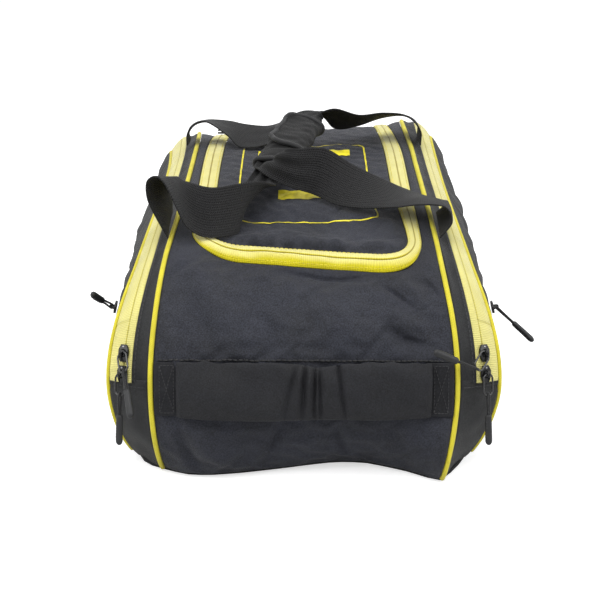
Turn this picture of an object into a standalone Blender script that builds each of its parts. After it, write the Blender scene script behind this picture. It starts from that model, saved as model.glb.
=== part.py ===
"""Racket tournament bag: a soft duffel with a zipped lid, two zipped side compartments and webbing handles.

Metres, +Z up. The bag stands on z = 0 with its length along Y, and the end with the zip pulls faces -Y.
The empties mark the joints: each stands on its joint's axis, with its own Z along that axis.
"""

import math

import bmesh
import bpy
from mathutils import Matrix, Vector

# Body
BODY_LENGTH = 0.620
BODY_HEIGHT = 0.222
BODY_WIDTH = 0.364
WIDTH_AT_TOP = 0.300
WIDTH_AT_BASE = 0.318
WIDEST_HEIGHT = 0.095
BAND_WIDTH = 0.280
BAND_WIDTH_AT_TOP = 0.238
BAND_WIDTH_AT_BASE = 0.266
SHOULDER_RADIUS = 0.140
CROWN_RISE = 0.022
BASE_INSET = 0.022
ROLL_DEPTH = 0.025
ROLL_LEAN = 0.5

# Cloth, seams and stiffening
CLOTH = 0.0025
SEAM = 0.0006
TOUCH = 0.0004
PIPING_RADIUS = 0.0025
OUTER_PIPING_RADIUS = 0.0020
BASE_THICKNESS = 0.0036
BASE_CORNER = 0.030
BOARD_THICKNESS = 0.0025
BOARD_WIDTH = 0.250
BOARD_LENGTH = 0.530
PARTITION_SPACING = 0.224
PARTITION_THICKNESS = 0.0015

# Arch strips, as shares of the way from the inner piping to the outer piping
GUSSET_END = 0.42
ZIP_LINE = 0.59
TAPE_END = 0.945
CLOSED_ZIP_HEIGHT = 0.150
FLAP_CORNER = 0.012

# Lid, with its reaches measured along the skin from the middle of the crown
LID_FRONT_REACH = 0.235
LID_REAR_REACH = 0.253
LID_ZIP_HALF_WIDTH = 0.098
LID_CORNER_RADIUS = 0.040
LID_TAPE_AT_SIDE = 0.0095
LID_TAPE_AT_FRONT = 0.0115
LID_CLOSED_ZIP = 0.075
LID_SLIDER_REACH = 0.192

# End grips
GRIP_LOW = 0.061
GRIP_HEIGHT = 0.053
GRIP_HALF_WIDTH = 0.116
GRIP_THICKNESS = 0.008
GRIP_FINGER_GAP = 0.013
TAB_WIDTH = 0.017

# Pocket zips on the side flaps
POCKET_HEIGHT = 0.125
POCKET_TAPE_WIDTH = 0.024
POCKET_TAPE_THICKNESS = 0.0012
POCKET_FRONT = -0.205
POCKET_REAR = 0.120
POCKET_SLIDER_Y = -0.190

# Carry handles
WEBBING_WIDTH = 0.050
WEBBING_THICKNESS = 0.0020
HANDLE_SPACING = 0.260
HANDLE_FRONT_REACH = 0.175
HANDLE_REAR_REACH = 0.085
HANDLE_CLEARANCE = 0.0012
WRAP_LENGTH = 0.115
WRAP_WALL = 0.0045
WRAP_X = -0.016
WRAP_Y = -0.022
WRAP_RISE = 0.0235
WRAP_TURN = math.radians(16)
WRAP_TILT = math.radians(8)
WRAP_LAYER = 0.0014
GATHERED_WIDTH = 0.032

# Stops of each handle: (step from its sewn end to the middle line, but down to the lower edge in height,
# direction of its width, how flat it lies from 0, gathered as in the wrap, to 1)
WRAP_STOPS = (-0.62, -0.51, 0.0, 0.51, 0.62)
LEFT_ROUTE = (
    (
        ((-0.0090, -0.0010, 0.0160), (0.22, 0.96, 0.12), 1.00),
        ((-0.0145, -0.0020, 0.0322), (0.36, 0.93, -0.06), 1.00),
        ((-0.0130, -0.0030, 0.0395), (0.39, 0.89, -0.25), 1.00),
        ((-0.0045, -0.0030, 0.0435), (0.30, 0.91, -0.27), 1.00),
        ((0.0030, -0.0050, 0.0422), (0.19, 0.97, -0.14), 1.00),
        ((0.0097, -0.0080, 0.0306), (0.08, 0.98, 0.17), 1.00),
        ((0.0195, -0.0110, 0.0137), (0.10, 0.88, 0.46), 1.00),
        ((0.0340, -0.0120, 0.0065), (0.11, 0.80, 0.59), 1.00),
        ((0.0480, -0.0100, 0.0025), (0.08, 0.66, 0.75), 1.00),
        ((0.0710, 0.0050, 0.0000), (0.30, 0.40, 0.85), 1.00),
        ((0.0825, 0.0390, 0.0119), (0.85, 0.10, 0.45), 0.39),
        ((0.0870, 0.0630, 0.0219), (0.93, -0.20, 0.12), 0.06),
    ),
    (
        ((0.1330, -0.0250, 0.0340), (0.91, 0.41, 0.00), 0.00),
        ((0.1230, -0.0150, 0.0310), (0.44, 0.90, 0.00), 0.06),
        ((0.1120, -0.0130, 0.0241), (0.00, 1.00, 0.05), 0.28),
        ((0.0900, -0.0200, 0.0089), (0.00, 0.97, 0.22), 0.78),
        ((0.0630, -0.0165, 0.0045), (0.08, 0.95, 0.29), 1.00),
        ((0.0470, -0.0050, 0.0140), (0.03, 0.98, 0.10), 1.00),
        ((0.0320, -0.0025, 0.0198), (0.02, 0.99, -0.10), 1.00),
        ((0.0197, -0.0025, 0.0198), (0.00, 0.98, -0.21), 1.00),
        ((0.0072, -0.0015, 0.0163), (-0.02, 0.98, -0.20), 1.00),
        ((0.0000, -0.0005, 0.0082), (-0.04, 0.98, -0.15), 1.00),
    ),
)
RIGHT_ROUTE = (
    (
        ((0.0110, -0.0010, 0.0115), (0.00, 1.00, 0.10), 1.00),
        ((0.0040, 0.0030, 0.0182), (0.00, 0.97, -0.15), 1.00),
        ((-0.0180, 0.0130, 0.0210), (0.05, 0.99, -0.08), 1.00),
        ((-0.0450, 0.0250, 0.0177), (0.10, 0.97, 0.21), 1.00),
        ((-0.0850, 0.0430, 0.0109), (0.20, 0.75, 0.65), 1.00),
        ((-0.1140, 0.0590, 0.0143), (0.15, 0.32, 0.93), 0.92),
        ((-0.1380, 0.0560, 0.0215), (0.10, 0.20, 0.97), 0.45),
        ((-0.1545, 0.0600, 0.0295), (0.45, 0.00, 0.88), 0.15),
        ((-0.1635, 0.0700, 0.0349), (0.75, -0.20, 0.60), 0.06),
    ),
    (
        ((-0.1190, -0.0280, 0.0390), (0.60, -0.80, 0.00), 0.06),
        ((-0.1070, -0.0230, 0.0345), (0.00, -0.95, 0.30), 0.17),
        ((-0.0860, -0.0180, 0.0185), (0.00, -0.74, 0.67), 0.72),
        ((-0.0580, -0.0110, 0.0172), (0.00, -0.88, 0.47), 1.00),
        ((-0.0320, -0.0040, 0.0240), (0.00, -0.94, 0.34), 1.00),
        ((-0.0100, 0.0000, 0.0255), (0.00, -0.97, 0.22), 1.00),
        ((0.0040, 0.0000, 0.0160), (0.00, -1.00, 0.08), 1.00),
    ),
)

# Sliders and pulls
SLIDER_LENGTH = 0.016
SLIDER_WIDTH = 0.010
SLIDER_TAIL_WIDTH = 0.006
SLIDER_PLATE = 0.0034
SLIDER_CLEARANCE = 0.0010
BRIDGE_WIDTH = 0.0026
BRIDGE_LENGTH = 0.0076
BRIDGE_HEIGHT = 0.0052
BRIDGE_WALL = 0.0012
LINK_WIRE_RADIUS = 0.0008
LINK_WIDTH = 0.0105
LINK_LENGTH = 0.0190
CORD_RADIUS = 0.0013
CORD_LENGTH = 0.0170
PULL_RADIUS = 0.0037
PULL_LENGTH = 0.0280
LOWER_SLIDER_HEIGHT = 0.1035
SLIDER_SPACING = 0.0206

# How each pull hangs, in degrees: (swing across its slider, lift off it, bend of the pull from the link)
PULL_POSES = {
    "left_upper": (25, 11, 0),
    "left_lower": (0, 0, 0),
    "right_upper": (-42, 0, 68),
    "right_lower": (0, 0, 0),
    "left_pocket": (32, 20, 0),
    "right_pocket": (40, 33, 0),
    "lid": (0, 0, 0),
}

# Worked out from the sizes above
HALF_LENGTH = BODY_LENGTH / 2
EDGE_HEIGHT = BASE_THICKNESS + TOUCH
SHOULDER_Y = HALF_LENGTH - SHOULDER_RADIUS
SHOULDER_Z = BODY_HEIGHT - CROWN_RISE - SHOULDER_RADIUS
CROWN_RADIUS = (SHOULDER_Y**2 + CROWN_RISE * (CROWN_RISE + 2 * SHOULDER_RADIUS)) / (2 * CROWN_RISE)
CROWN_ANGLE = math.asin(SHOULDER_Y / (CROWN_RADIUS - SHOULDER_RADIUS))
CROWN_ARC = CROWN_RADIUS * CROWN_ANGLE
SHOULDER_ARC = SHOULDER_RADIUS * (math.pi / 2 - CROWN_ANGLE)
FOOT_DROP = SHOULDER_Z - EDGE_HEIGHT
FOOT_RADIUS = (FOOT_DROP**2 + BASE_INSET**2) / (2 * BASE_INSET)
FLOOR_ARC = CROWN_ARC + SHOULDER_ARC + FOOT_RADIUS * math.asin(FOOT_DROP / FOOT_RADIUS)
PIPING_SEAM = PIPING_RADIUS + TOUCH
FLAP_INSET = ROLL_DEPTH + CLOTH / 2 + OUTER_PIPING_RADIUS + SEAM
SEAM_SHARE = SEAM / (2 * ROLL_DEPTH)
PLATE_TOP = SLIDER_CLEARANCE + SLIDER_PLATE
LINK_HEIGHT = PLATE_TOP + (BRIDGE_HEIGHT - BRIDGE_WALL) / 2
SIDES = ((-1, "left"), (1, "right"))
WELD = 1e-6
SMALL_STEP = 0.001

parts = bpy.data.collections.new("racket_tournament_bag")
cutters = bpy.data.collections.new("cutters")


def clear_scene():
    for old in list(bpy.data.objects):
        bpy.data.objects.remove(old, do_unlink=True)
    bpy.context.scene.collection.children.link(parts)
    bpy.context.scene.collection.children.link(cutters)


def material(name, colour, roughness, metallic=0.0):
    made = bpy.data.materials.new(name)
    made.use_nodes = True
    shader = made.node_tree.nodes["Principled BSDF"]
    shader.inputs["Base Color"].default_value = (*colour, 1.0)
    shader.inputs["Roughness"].default_value = roughness
    shader.inputs["Metallic"].default_value = metallic
    return made


def add_object(name, data, finish):
    made = bpy.data.objects.new(name, data)
    parts.objects.link(made)
    if not data.materials:
        data.materials.append(finish)
    return made


# Outline of the bag seen from the side

def profile(arc):
    """Point (y, z) and outward normal (y, z) this far along the skin from the crown, front negative."""
    side = -1 if arc < 0 else 1
    run = abs(arc)
    if run <= CROWN_ARC:
        angle = run / CROWN_RADIUS
        centre_y, centre_z, radius = 0.0, BODY_HEIGHT - CROWN_RADIUS, CROWN_RADIUS
    elif run <= CROWN_ARC + SHOULDER_ARC:
        angle = CROWN_ANGLE + (run - CROWN_ARC) / SHOULDER_RADIUS
        centre_y, centre_z, radius = SHOULDER_Y, SHOULDER_Z, SHOULDER_RADIUS
    else:
        angle = math.pi / 2 + (run - CROWN_ARC - SHOULDER_ARC) / FOOT_RADIUS
        centre_y, centre_z, radius = HALF_LENGTH - FOOT_RADIUS, SHOULDER_Z, FOOT_RADIUS
    out_y, out_z = math.sin(angle), math.cos(angle)
    return side * (centre_y + radius * out_y), centre_z + radius * out_z, side * out_y, out_z


def arc_at(height):
    """Distance along the skin from the crown down to this height."""
    if height < SHOULDER_Z:
        return CROWN_ARC + SHOULDER_ARC + FOOT_RADIUS * math.asin((SHOULDER_Z - height) / FOOT_RADIUS)
    angle = math.acos((height - SHOULDER_Z) / SHOULDER_RADIUS)
    return CROWN_ARC + SHOULDER_RADIUS * (angle - CROWN_ANGLE)


def ceiling(y, depth):
    """Height of the upper skin at this y, measured this deep under it."""
    run = abs(y)
    if run < (CROWN_RADIUS - depth) * math.sin(CROWN_ANGLE):
        return BODY_HEIGHT - CROWN_RADIUS + math.sqrt((CROWN_RADIUS - depth) ** 2 - run**2)
    return SHOULDER_Z + math.sqrt((SHOULDER_RADIUS - depth) ** 2 - (run - SHOULDER_Y) ** 2)


def underside(y, depth):
    """Height of the lower skin at this y, measured this deep inside it and above the base board."""
    reach = abs(y) - HALF_LENGTH + FOOT_RADIUS
    curve = SHOULDER_Z - math.sqrt(max((FOOT_RADIUS - depth) ** 2 - reach**2, 0.0))
    board_top = EDGE_HEIGHT + BOARD_THICKNESS + SEAM
    return max(curve, board_top) if reach > 0 else board_top


def end_reach(height, depth):
    """How far the skin reaches along Y at this height, measured this deep inside it."""
    if height >= SHOULDER_Z:
        return SHOULDER_Y + math.sqrt((SHOULDER_RADIUS - depth) ** 2 - (height - SHOULDER_Z) ** 2)
    radius = FOOT_RADIUS - depth
    drop = min(SHOULDER_Z - height, radius * FOOT_DROP / FOOT_RADIUS)
    return HALF_LENGTH - FOOT_RADIUS + math.sqrt(radius**2 - drop**2)


def half_width(height, widest, at_top, at_base):
    if height > WIDEST_HEIGHT:
        share, end = (height - WIDEST_HEIGHT) / (BODY_HEIGHT - WIDEST_HEIGHT), at_top
    else:
        share, end = (WIDEST_HEIGHT - height) / WIDEST_HEIGHT, at_base
    return (widest - (widest - end) * share**2) / 2


def band_half(height):
    return half_width(height, BAND_WIDTH, BAND_WIDTH_AT_TOP, BAND_WIDTH_AT_BASE)


def body_half(height):
    return half_width(height, BODY_WIDTH, WIDTH_AT_TOP, WIDTH_AT_BASE)


def flap_half(height):
    """Half width at the side panels, whose top edge lies under the rolled strip."""
    if height > WIDEST_HEIGHT:
        rise = BODY_HEIGHT - WIDEST_HEIGHT
        height = WIDEST_HEIGHT + (height - WIDEST_HEIGHT) * rise / (rise - ROLL_DEPTH)
    return body_half(height)


# Points on the skin, each with its outward normal

def band_point(arc, x, lift=0.0):
    y, z, out_y, out_z = profile(arc)
    return Vector((x, y + out_y * lift, z + out_z * lift)), Vector((0, out_y, out_z))


def strip_width(height):
    return body_half(height) - band_half(height)


def strip_point(arc, share, side):
    """Point on the arch strip that leans from the centre band over to the side panel."""
    y, z, out_y, out_z = profile(arc)
    width = strip_width(z)
    inset = ROLL_DEPTH * (ROLL_LEAN * share + (1 - ROLL_LEAN) * share**2)
    fall = ROLL_DEPTH * (ROLL_LEAN + 2 * (1 - ROLL_LEAN) * share)
    normal = Vector((side * fall, out_y * width, out_z * width)).normalized()
    x = band_half(z) + width * share
    return Vector((side * x, y - out_y * inset, z - out_z * inset)), normal


def piping_share(arc):
    """Share of the arch strip that the inner piping takes up."""
    return PIPING_SEAM / strip_width(profile(arc)[1])


def flap_point(y, z, side, lift=0.0):
    slope = (flap_half(z + SMALL_STEP) - flap_half(z - SMALL_STEP)) / (2 * SMALL_STEP)
    normal = Vector((side, 0, -slope)).normalized()
    return Vector((side * flap_half(z), y, z)) + normal * lift, normal


def blend(start, end, share):
    return start + (end - start) * share


def spread(start, end, count):
    return [blend(start, end, i / count) for i in range(count + 1)]


def smooth(points, steps):
    """A smooth curve through the points, with this many steps between neighbours."""
    padded = [points[0] * 2 - points[1], *points, points[-1] * 2 - points[-2]]
    found = []
    for before, start, end, after in zip(padded, padded[1:], padded[2:], padded[3:]):
        for t in spread(0, 1, steps)[:-1]:
            curve = 2 * start + (end - before) * t
            curve += (2 * before - 5 * start + 4 * end - after) * t**2
            curve += (3 * start - before - 3 * end + after) * t**3
            found.append(curve / 2)
    return [*found, points[-1]]


# Building blocks

def face_outwards(bm):
    bmesh.ops.recalc_face_normals(bm, faces=bm.faces[:])
    if bm.calc_volume(signed=True) < 0:
        bmesh.ops.reverse_faces(bm, faces=bm.faces[:])


def cloth(name, columns, rows, place, finish, thickness=CLOTH):
    """A flat grid thickened and then bent: place(column, row) gives each outer point and its normal."""
    bm = bmesh.new()
    bmesh.ops.create_grid(bm, x_segments=columns, y_segments=rows, size=0.5)
    grown = bmesh.ops.extrude_face_region(bm, geom=bm.faces[:])["geom"]
    inner = {item for item in grown if isinstance(item, bmesh.types.BMVert)}
    for vert in bm.verts:
        column = round((vert.co.x + 0.5) * columns)
        row = round((vert.co.y + 0.5) * rows)
        point, normal = place(column, row)
        vert.co = point - normal * thickness if vert in inner else point
    face_outwards(bm)
    mesh = bpy.data.meshes.new(name)
    bm.to_mesh(mesh)
    bm.free()
    mesh.shade_smooth()
    mesh.set_sharp_from_angle(angle=math.radians(40))
    return add_object(name, mesh, finish)


def tube(name, points, radius, finish, widths=None, closed=False):
    """A round cord along the points. Widths, where given, scale the radius at each point."""
    data = bpy.data.curves.new(name, "CURVE")
    data.dimensions = "3D"
    data.bevel_depth = radius
    data.bevel_resolution = 1
    data.use_fill_caps = not closed
    spline = data.splines.new("POLY")
    spline.points.add(len(points) - 1)
    spline.use_cyclic_u = closed
    for i, point in enumerate(points):
        spline.points[i].co = (*point, 1.0)
        spline.points[i].radius = widths[i] if widths else 1.0
    return add_object(name, data, finish)


def plate(name, outlines, thickness, finish):
    """Flat outlines filled and extruded, centred on the object's own XY plane."""
    data = bpy.data.curves.new(name, "CURVE")
    data.dimensions = "2D"
    data.fill_mode = "BOTH"
    data.extrude = thickness / 2
    for outline in outlines:
        spline = data.splines.new("POLY")
        spline.points.add(len(outline) - 1)
        spline.use_cyclic_u = True
        for spot, (x, y) in zip(spline.points, outline):
            spot.co = (x, y, 0.0, 1.0)
    return add_object(name, data, finish)


def rounded_rectangle(half_x, half_y, radius, steps=5):
    corners = ((1, 1, 0), (-1, 1, 90), (-1, -1, 180), (1, -1, 270))
    outline = []
    for sign_x, sign_y, start in corners:
        for turn in spread(start, start + 90, steps):
            x = sign_x * (half_x - radius) + radius * math.cos(math.radians(turn))
            y = sign_y * (half_y - radius) + radius * math.sin(math.radians(turn))
            outline.append((x, y))
    return outline


def as_mesh(curve):
    """The curve object remade as a mesh object with its caps welded."""
    bpy.context.view_layer.update()
    evaluated = curve.evaluated_get(bpy.context.evaluated_depsgraph_get())
    mesh = bpy.data.meshes.new_from_object(evaluated)
    bm = bmesh.new()
    bm.from_mesh(mesh)
    bmesh.ops.remove_doubles(bm, verts=bm.verts[:], dist=WELD)
    face_outwards(bm)
    bm.to_mesh(mesh)
    bm.free()
    made = bpy.data.objects.new(curve.name + "_solid", mesh)
    cutters.objects.link(made)
    made.matrix_world = curve.matrix_world.copy()
    bpy.data.objects.remove(curve, do_unlink=True)
    return made


def joint(name, point, axis, pieces):
    """An empty on a joint's axis, which carries the pieces that move there."""
    pivot = bpy.data.objects.new(name, None)
    pivot.empty_display_size = 0.02
    turn = Vector(axis).to_track_quat("Z", "Y").to_matrix().to_4x4()
    pivot.matrix_world = Matrix.Translation(point) @ turn
    parts.objects.link(pivot)
    for piece in pieces:
        piece.parent = pivot
        piece.matrix_parent_inverse = pivot.matrix_world.inverted()
    return pivot


def circle_through(first, second, third):
    """Centre and axis of the circle through three points, turning from the first to the third."""
    near, far = second - first, third - first
    axis = near.cross(far)
    offset = axis.cross(near) * far.length_squared + far.cross(axis) * near.length_squared
    return first + offset / (2 * axis.length_squared), axis.normalized()


# Base and centre band

def make_base(finishes):
    outline = rounded_rectangle(body_half(EDGE_HEIGHT), HALF_LENGTH - BASE_INSET, BASE_CORNER)
    panel = plate("base_panel", [outline], BASE_THICKNESS, finishes["panel"])
    panel.location.z = BASE_THICKNESS / 2
    outline = rounded_rectangle(BOARD_WIDTH / 2, BOARD_LENGTH / 2, BASE_CORNER)
    board = plate("base_board", [outline], BOARD_THICKNESS, finishes["board"])
    board.location.z = EDGE_HEIGHT + BOARD_THICKNESS / 2


def make_end_panel(name, start, end, finish):
    columns, rows = 6, 16

    def place(column, row):
        arc = blend(start, end, row / rows)
        half = band_half(profile(arc)[1]) - PIPING_SEAM
        return band_point(arc, half * (2 * column / columns - 1))

    cloth(name, columns, rows, place, finish)


def make_partition(name, side, finish):
    columns, rows = 20, 2
    depth = CLOTH + SEAM
    reach = HALF_LENGTH - 2 * depth

    def place(column, row):
        y = reach * (2 * column / columns - 1)
        z = blend(underside(y, depth), ceiling(y, depth), row / rows)
        return Vector((side * PARTITION_SPACING / 2, y, z)), Vector((side, 0, 0))

    cloth(name, columns, rows, place, finish, PARTITION_THICKNESS)


def make_piping(name, side, finish):
    points = []
    for arc in spread(-FLOOR_ARC, FLOOR_ARC, 60):
        height = profile(arc)[1]
        points.append(band_point(arc, side * band_half(height), -CLOTH / 2)[0])
    tube(name, points, PIPING_RADIUS, finish)


# Lid

def lid_stations(side, rear):
    """Stops along one half of the lid's zip, from this arc forward to the middle of the front.

    Each is (x, arc, outward x, outward arc, half width of the tape).
    """
    corner_arc = LID_CORNER_RADIUS - LID_FRONT_REACH
    corner_x = LID_ZIP_HALF_WIDTH - LID_CORNER_RADIUS
    stops = []
    for arc in spread(rear, corner_arc, 14):
        stops.append((side * LID_ZIP_HALF_WIDTH, arc, side, 0.0, LID_TAPE_AT_SIDE))
    for turn in spread(0, math.pi / 2, 6)[1:]:
        share = turn / (math.pi / 2)
        half = blend(LID_TAPE_AT_SIDE, LID_TAPE_AT_FRONT, share * share * (3 - 2 * share))
        x = side * (corner_x + LID_CORNER_RADIUS * math.cos(turn))
        arc = corner_arc - LID_CORNER_RADIUS * math.sin(turn)
        stops.append((x, arc, side * math.cos(turn), -math.sin(turn), half))
    for x in spread(corner_x, 0, 3)[1:]:
        stops.append((side * x, -LID_FRONT_REACH, 0.0, -1.0, LID_TAPE_AT_FRONT))
    return stops


def zip_edge(stop, offset):
    """Place on the skin this far outwards from a stop on the lid's zip."""
    x, arc, out_x, out_arc, _ = stop
    return arc + out_arc * offset, x + out_x * offset


def make_lid_tape(name, stops, edges, finish):
    """Zip tape along the stops, between each stop's two offsets from the zip."""

    def place(column, row):
        return band_point(*zip_edge(stops[column], edges[column][row]))

    return cloth(name, len(stops) - 1, 1, place, finish)


def make_lid(finishes):
    """The lid, with the last of its zip left closed behind the slider."""
    rear = LID_REAR_REACH - SEAM
    open_from = LID_REAR_REACH - LID_CLOSED_ZIP
    right = lid_stations(1, rear)[::-1]
    closed = [(-LID_ZIP_HALF_WIDTH, arc, -1, 0.0, LID_TAPE_AT_SIDE) for arc in (rear, open_from + SEAM)]
    frame = closed + lid_stations(-1, open_from)[:-1] + right
    edges = [(-stop[4] if stop in closed else SEAM / 2, stop[4]) for stop in frame]
    make_lid_tape("lid_frame_tape", frame, edges, finishes["tape"])
    moving = lid_stations(-1, open_from - SEAM)[:-1] + right
    edges = [(-stop[4], -SEAM / 2) for stop in moving]
    tape = make_lid_tape("lid_tape", moving, edges, finishes["tape"])

    side_stops = [stop for stop in lid_stations(1, rear) if stop[2]]
    columns = 6

    def place(column, row):
        arc, half = zip_edge(side_stops[row], -side_stops[row][4] - SEAM)
        return band_point(arc, half * (2 * column / columns - 1))

    panel = cloth("lid_panel", columns, len(side_stops) - 1, place, finishes["panel"])
    hinge, _ = band_point(LID_REAR_REACH, 0.0)
    joint("lid_hinge", hinge, (-1, 0, 0), [panel, tape])


def make_rail(name, side, finish):
    """Strip of the centre band between the lid's frame tape and the piping."""
    stops = [stop for stop in lid_stations(side, LID_REAR_REACH - SEAM) if stop[2]]

    def place(column, row):
        arc, x = zip_edge(stops[column], stops[column][4] + SEAM)
        if row:
            x = side * (band_half(profile(arc)[1]) - PIPING_SEAM)
        return band_point(arc, x)

    cloth(name, len(stops) - 1, 1, place, finish)


# Sides

def make_strip(name, side, stops, finish, rows=1):
    """Part of an arch strip. Each stop is (arc, inner share, outer share)."""

    def place(column, row):
        arc, inner, outer = stops[column]
        return strip_point(arc, blend(inner, outer, row / rows), side)

    return cloth(name, len(stops) - 1, rows, place, finish)


def make_arch(label, side, finishes):
    """Gusset, zip tapes and feet of one side. The outer tape is returned, because it moves with the flap."""
    top = arc_at(WIDEST_HEIGHT) - SEAM / 2
    arcs = spread(-top, top, 44)
    stops = [(arc, piping_share(arc), GUSSET_END - SEAM_SHARE) for arc in arcs]
    make_strip(f"{label}_gusset", side, stops, finishes["panel"])

    inner, outer = GUSSET_END + SEAM_SHARE, ZIP_LINE - SEAM_SHARE
    shut = arc_at(CLOSED_ZIP_HEIGHT)
    stops = [(arc, inner, TAPE_END) for arc in spread(-top, -shut - SEAM, 6)]
    stops += [(arc, inner, outer) for arc in spread(-shut, top, 38)]
    make_strip(f"{label}_zip_inner_tape", side, stops, finishes["tape"])

    stops = [(arc, ZIP_LINE + SEAM_SHARE, TAPE_END) for arc in spread(-shut + SEAM, top, 38)]
    tape = make_strip(f"{label}_zip_outer_tape", side, stops, finishes["tape"])

    low = arc_at(WIDEST_HEIGHT) + SEAM / 2
    for end, end_label in ((-1, "front"), (1, "rear")):
        arcs = [end * arc for arc in spread(low, FLOOR_ARC, 8)]
        stops = [(arc, piping_share(arc), TAPE_END) for arc in arcs]
        make_strip(f"{end_label}_{label}_foot", side, stops, finishes["panel"], rows=3)
    return tape


def make_flap(label, side, tape, finishes):
    """The side flap with its zip tape, piping and pocket, on a fold along the widest line."""
    columns, rows = 20, 4
    low = WIDEST_HEIGHT + SEAM / 2
    reach = end_reach(WIDEST_HEIGHT + FLAP_CORNER, FLAP_INSET)

    def panel_place(column, row):
        y = reach * (2 * column / columns - 1)
        return flap_point(y, blend(low, ceiling(y, FLAP_INSET), row / rows), side)

    def pocket_place(column, row):
        y = blend(POCKET_FRONT, POCKET_REAR, column / pocket_columns)
        z = POCKET_HEIGHT + POCKET_TAPE_WIDTH * (row / rows - 0.5)
        return flap_point(y, z, side, TOUCH + POCKET_TAPE_THICKNESS)

    pocket_columns = 6
    panel = cloth(f"{label}_side_flap", columns, rows, panel_place, finishes["panel"])
    pocket = cloth(
        f"{label}_pocket_tape", pocket_columns, rows, pocket_place, finishes["webbing"], POCKET_TAPE_THICKNESS
    )
    points = []
    for arc in spread(-arc_at(CLOSED_ZIP_HEIGHT) + SEAM, arc_at(WIDEST_HEIGHT) - 2 * OUTER_PIPING_RADIUS, 40):
        point, normal = strip_point(arc, 1.0, side)
        points.append(point - normal * CLOTH / 2)
    piping = tube(f"{label}_outer_piping", points, OUTER_PIPING_RADIUS, finishes["tape"])
    fold = Vector((side * BODY_WIDTH / 2, 0, WIDEST_HEIGHT))
    return joint(f"{label}_flap_fold", fold, (0, side, 0), [panel, tape, piping, pocket])


def make_lower_side(name, side, finish):
    columns, rows = 12, 5

    def place(column, row):
        z = blend(EDGE_HEIGHT, WIDEST_HEIGHT - SEAM / 2, row / rows)
        y = end_reach(z, FLAP_INSET) * (2 * column / columns - 1)
        return Vector((side * body_half(z), y, z)), Vector((side, 0, 0))

    cloth(name, columns, rows, place, finish)


# Handles

def make_grip(end_label, end, finishes):
    """Padded end grip, bowed clear of its panel, with a sewn tab at each end."""
    columns, rows = 14, 3
    low, high = arc_at(GRIP_LOW), arc_at(GRIP_LOW + GRIP_HEIGHT)

    def grip_place(column, row):
        share = 2 * column / columns - 1
        lift = TOUCH + GRIP_THICKNESS + GRIP_FINGER_GAP * (1 - share**4)
        return band_point(end * blend(low, high, row / rows), GRIP_HALF_WIDTH * share, lift)

    grip = cloth(f"{end_label}_grip", columns, rows, grip_place, finishes["grip"], GRIP_THICKNESS)
    middle, _ = band_point(end * arc_at(GRIP_LOW + GRIP_HEIGHT / 2), 0.0)
    joint(f"{end_label}_grip_pull", middle, (0, end, 0), [grip])
    for side, label in SIDES:
        inner = GRIP_HALF_WIDTH + SEAM

        def tab_place(column, row, side=side, inner=inner):
            x = side * (inner + TAB_WIDTH * column)
            return band_point(end * blend(low, high, row / rows), x, TOUCH + CLOTH)

        cloth(f"{end_label}_{label}_grip_tab", 1, rows, tab_place, finishes["grip"])


def wrap_place():
    """Place of the wrap's middle, with its long axis along its own Y."""
    middle = Matrix.Translation((WRAP_X, WRAP_Y, BODY_HEIGHT + WRAP_RISE))
    return middle @ Matrix.Rotation(-WRAP_TURN, 4, "Z") @ Matrix.Rotation(WRAP_TILT, 4, "X")


def handle_foot(side, reach):
    """Sewn end of a handle, just clear of the skin, and the direction of its width along the skin."""
    point, normal = band_point(reach, side * HANDLE_SPACING / 2, HANDLE_CLEARANCE)
    return point, Vector((0, normal.z, -normal.y))


def handle_route(side):
    """Middle line of one handle, from its front sewn end to its rear one.

    Each stop is (point, direction of the width, width). A stop on the way is held by its lower edge.
    """
    place = wrap_place()
    across = place.to_3x3() @ Vector((1, 0, 0))
    layer = side * (WRAP_LAYER + WEBBING_THICKNESS / 2)
    before, after = LEFT_ROUTE if side < 0 else RIGHT_ROUTE
    front, front_width = handle_foot(side, -HANDLE_FRONT_REACH)
    rear, rear_width = handle_foot(side, HANDLE_REAR_REACH)

    def way(foot, stops):
        for step, across, flat in stops:
            direction = Vector(across).normalized()
            wide = blend(GATHERED_WIDTH, WEBBING_WIDTH, flat)
            rise = Vector((0, 0, abs(direction.z) * wide / 2))
            yield foot + Vector(step) + rise, direction, wide

    route = [(front, front_width, WEBBING_WIDTH), *way(front, before)]
    for stop in WRAP_STOPS:
        route.append((place @ Vector((0, stop * WRAP_LENGTH, layer)), across, GATHERED_WIDTH))
    return [*route, *way(rear, after), (rear, -side * rear_width, WEBBING_WIDTH)]


def make_handle(name, side, finish):
    points, directions, widths = zip(*handle_route(side))
    middles = smooth(points, 4)
    directions = smooth(directions, 4)
    widths = smooth(widths, 4)
    rows = 2

    def place(column, row):
        last = len(middles) - 1
        ahead = middles[min(column + 1, last)] - middles[max(column - 1, 0)]
        width = directions[column].normalized()
        normal = ahead.cross(width).normalized()
        point = middles[column] + width * widths[column] * (row / rows - 0.5)
        return point + normal * WEBBING_THICKNESS / 2, normal

    return cloth(name, len(middles) - 1, rows, place, finish, WEBBING_THICKNESS)


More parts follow.
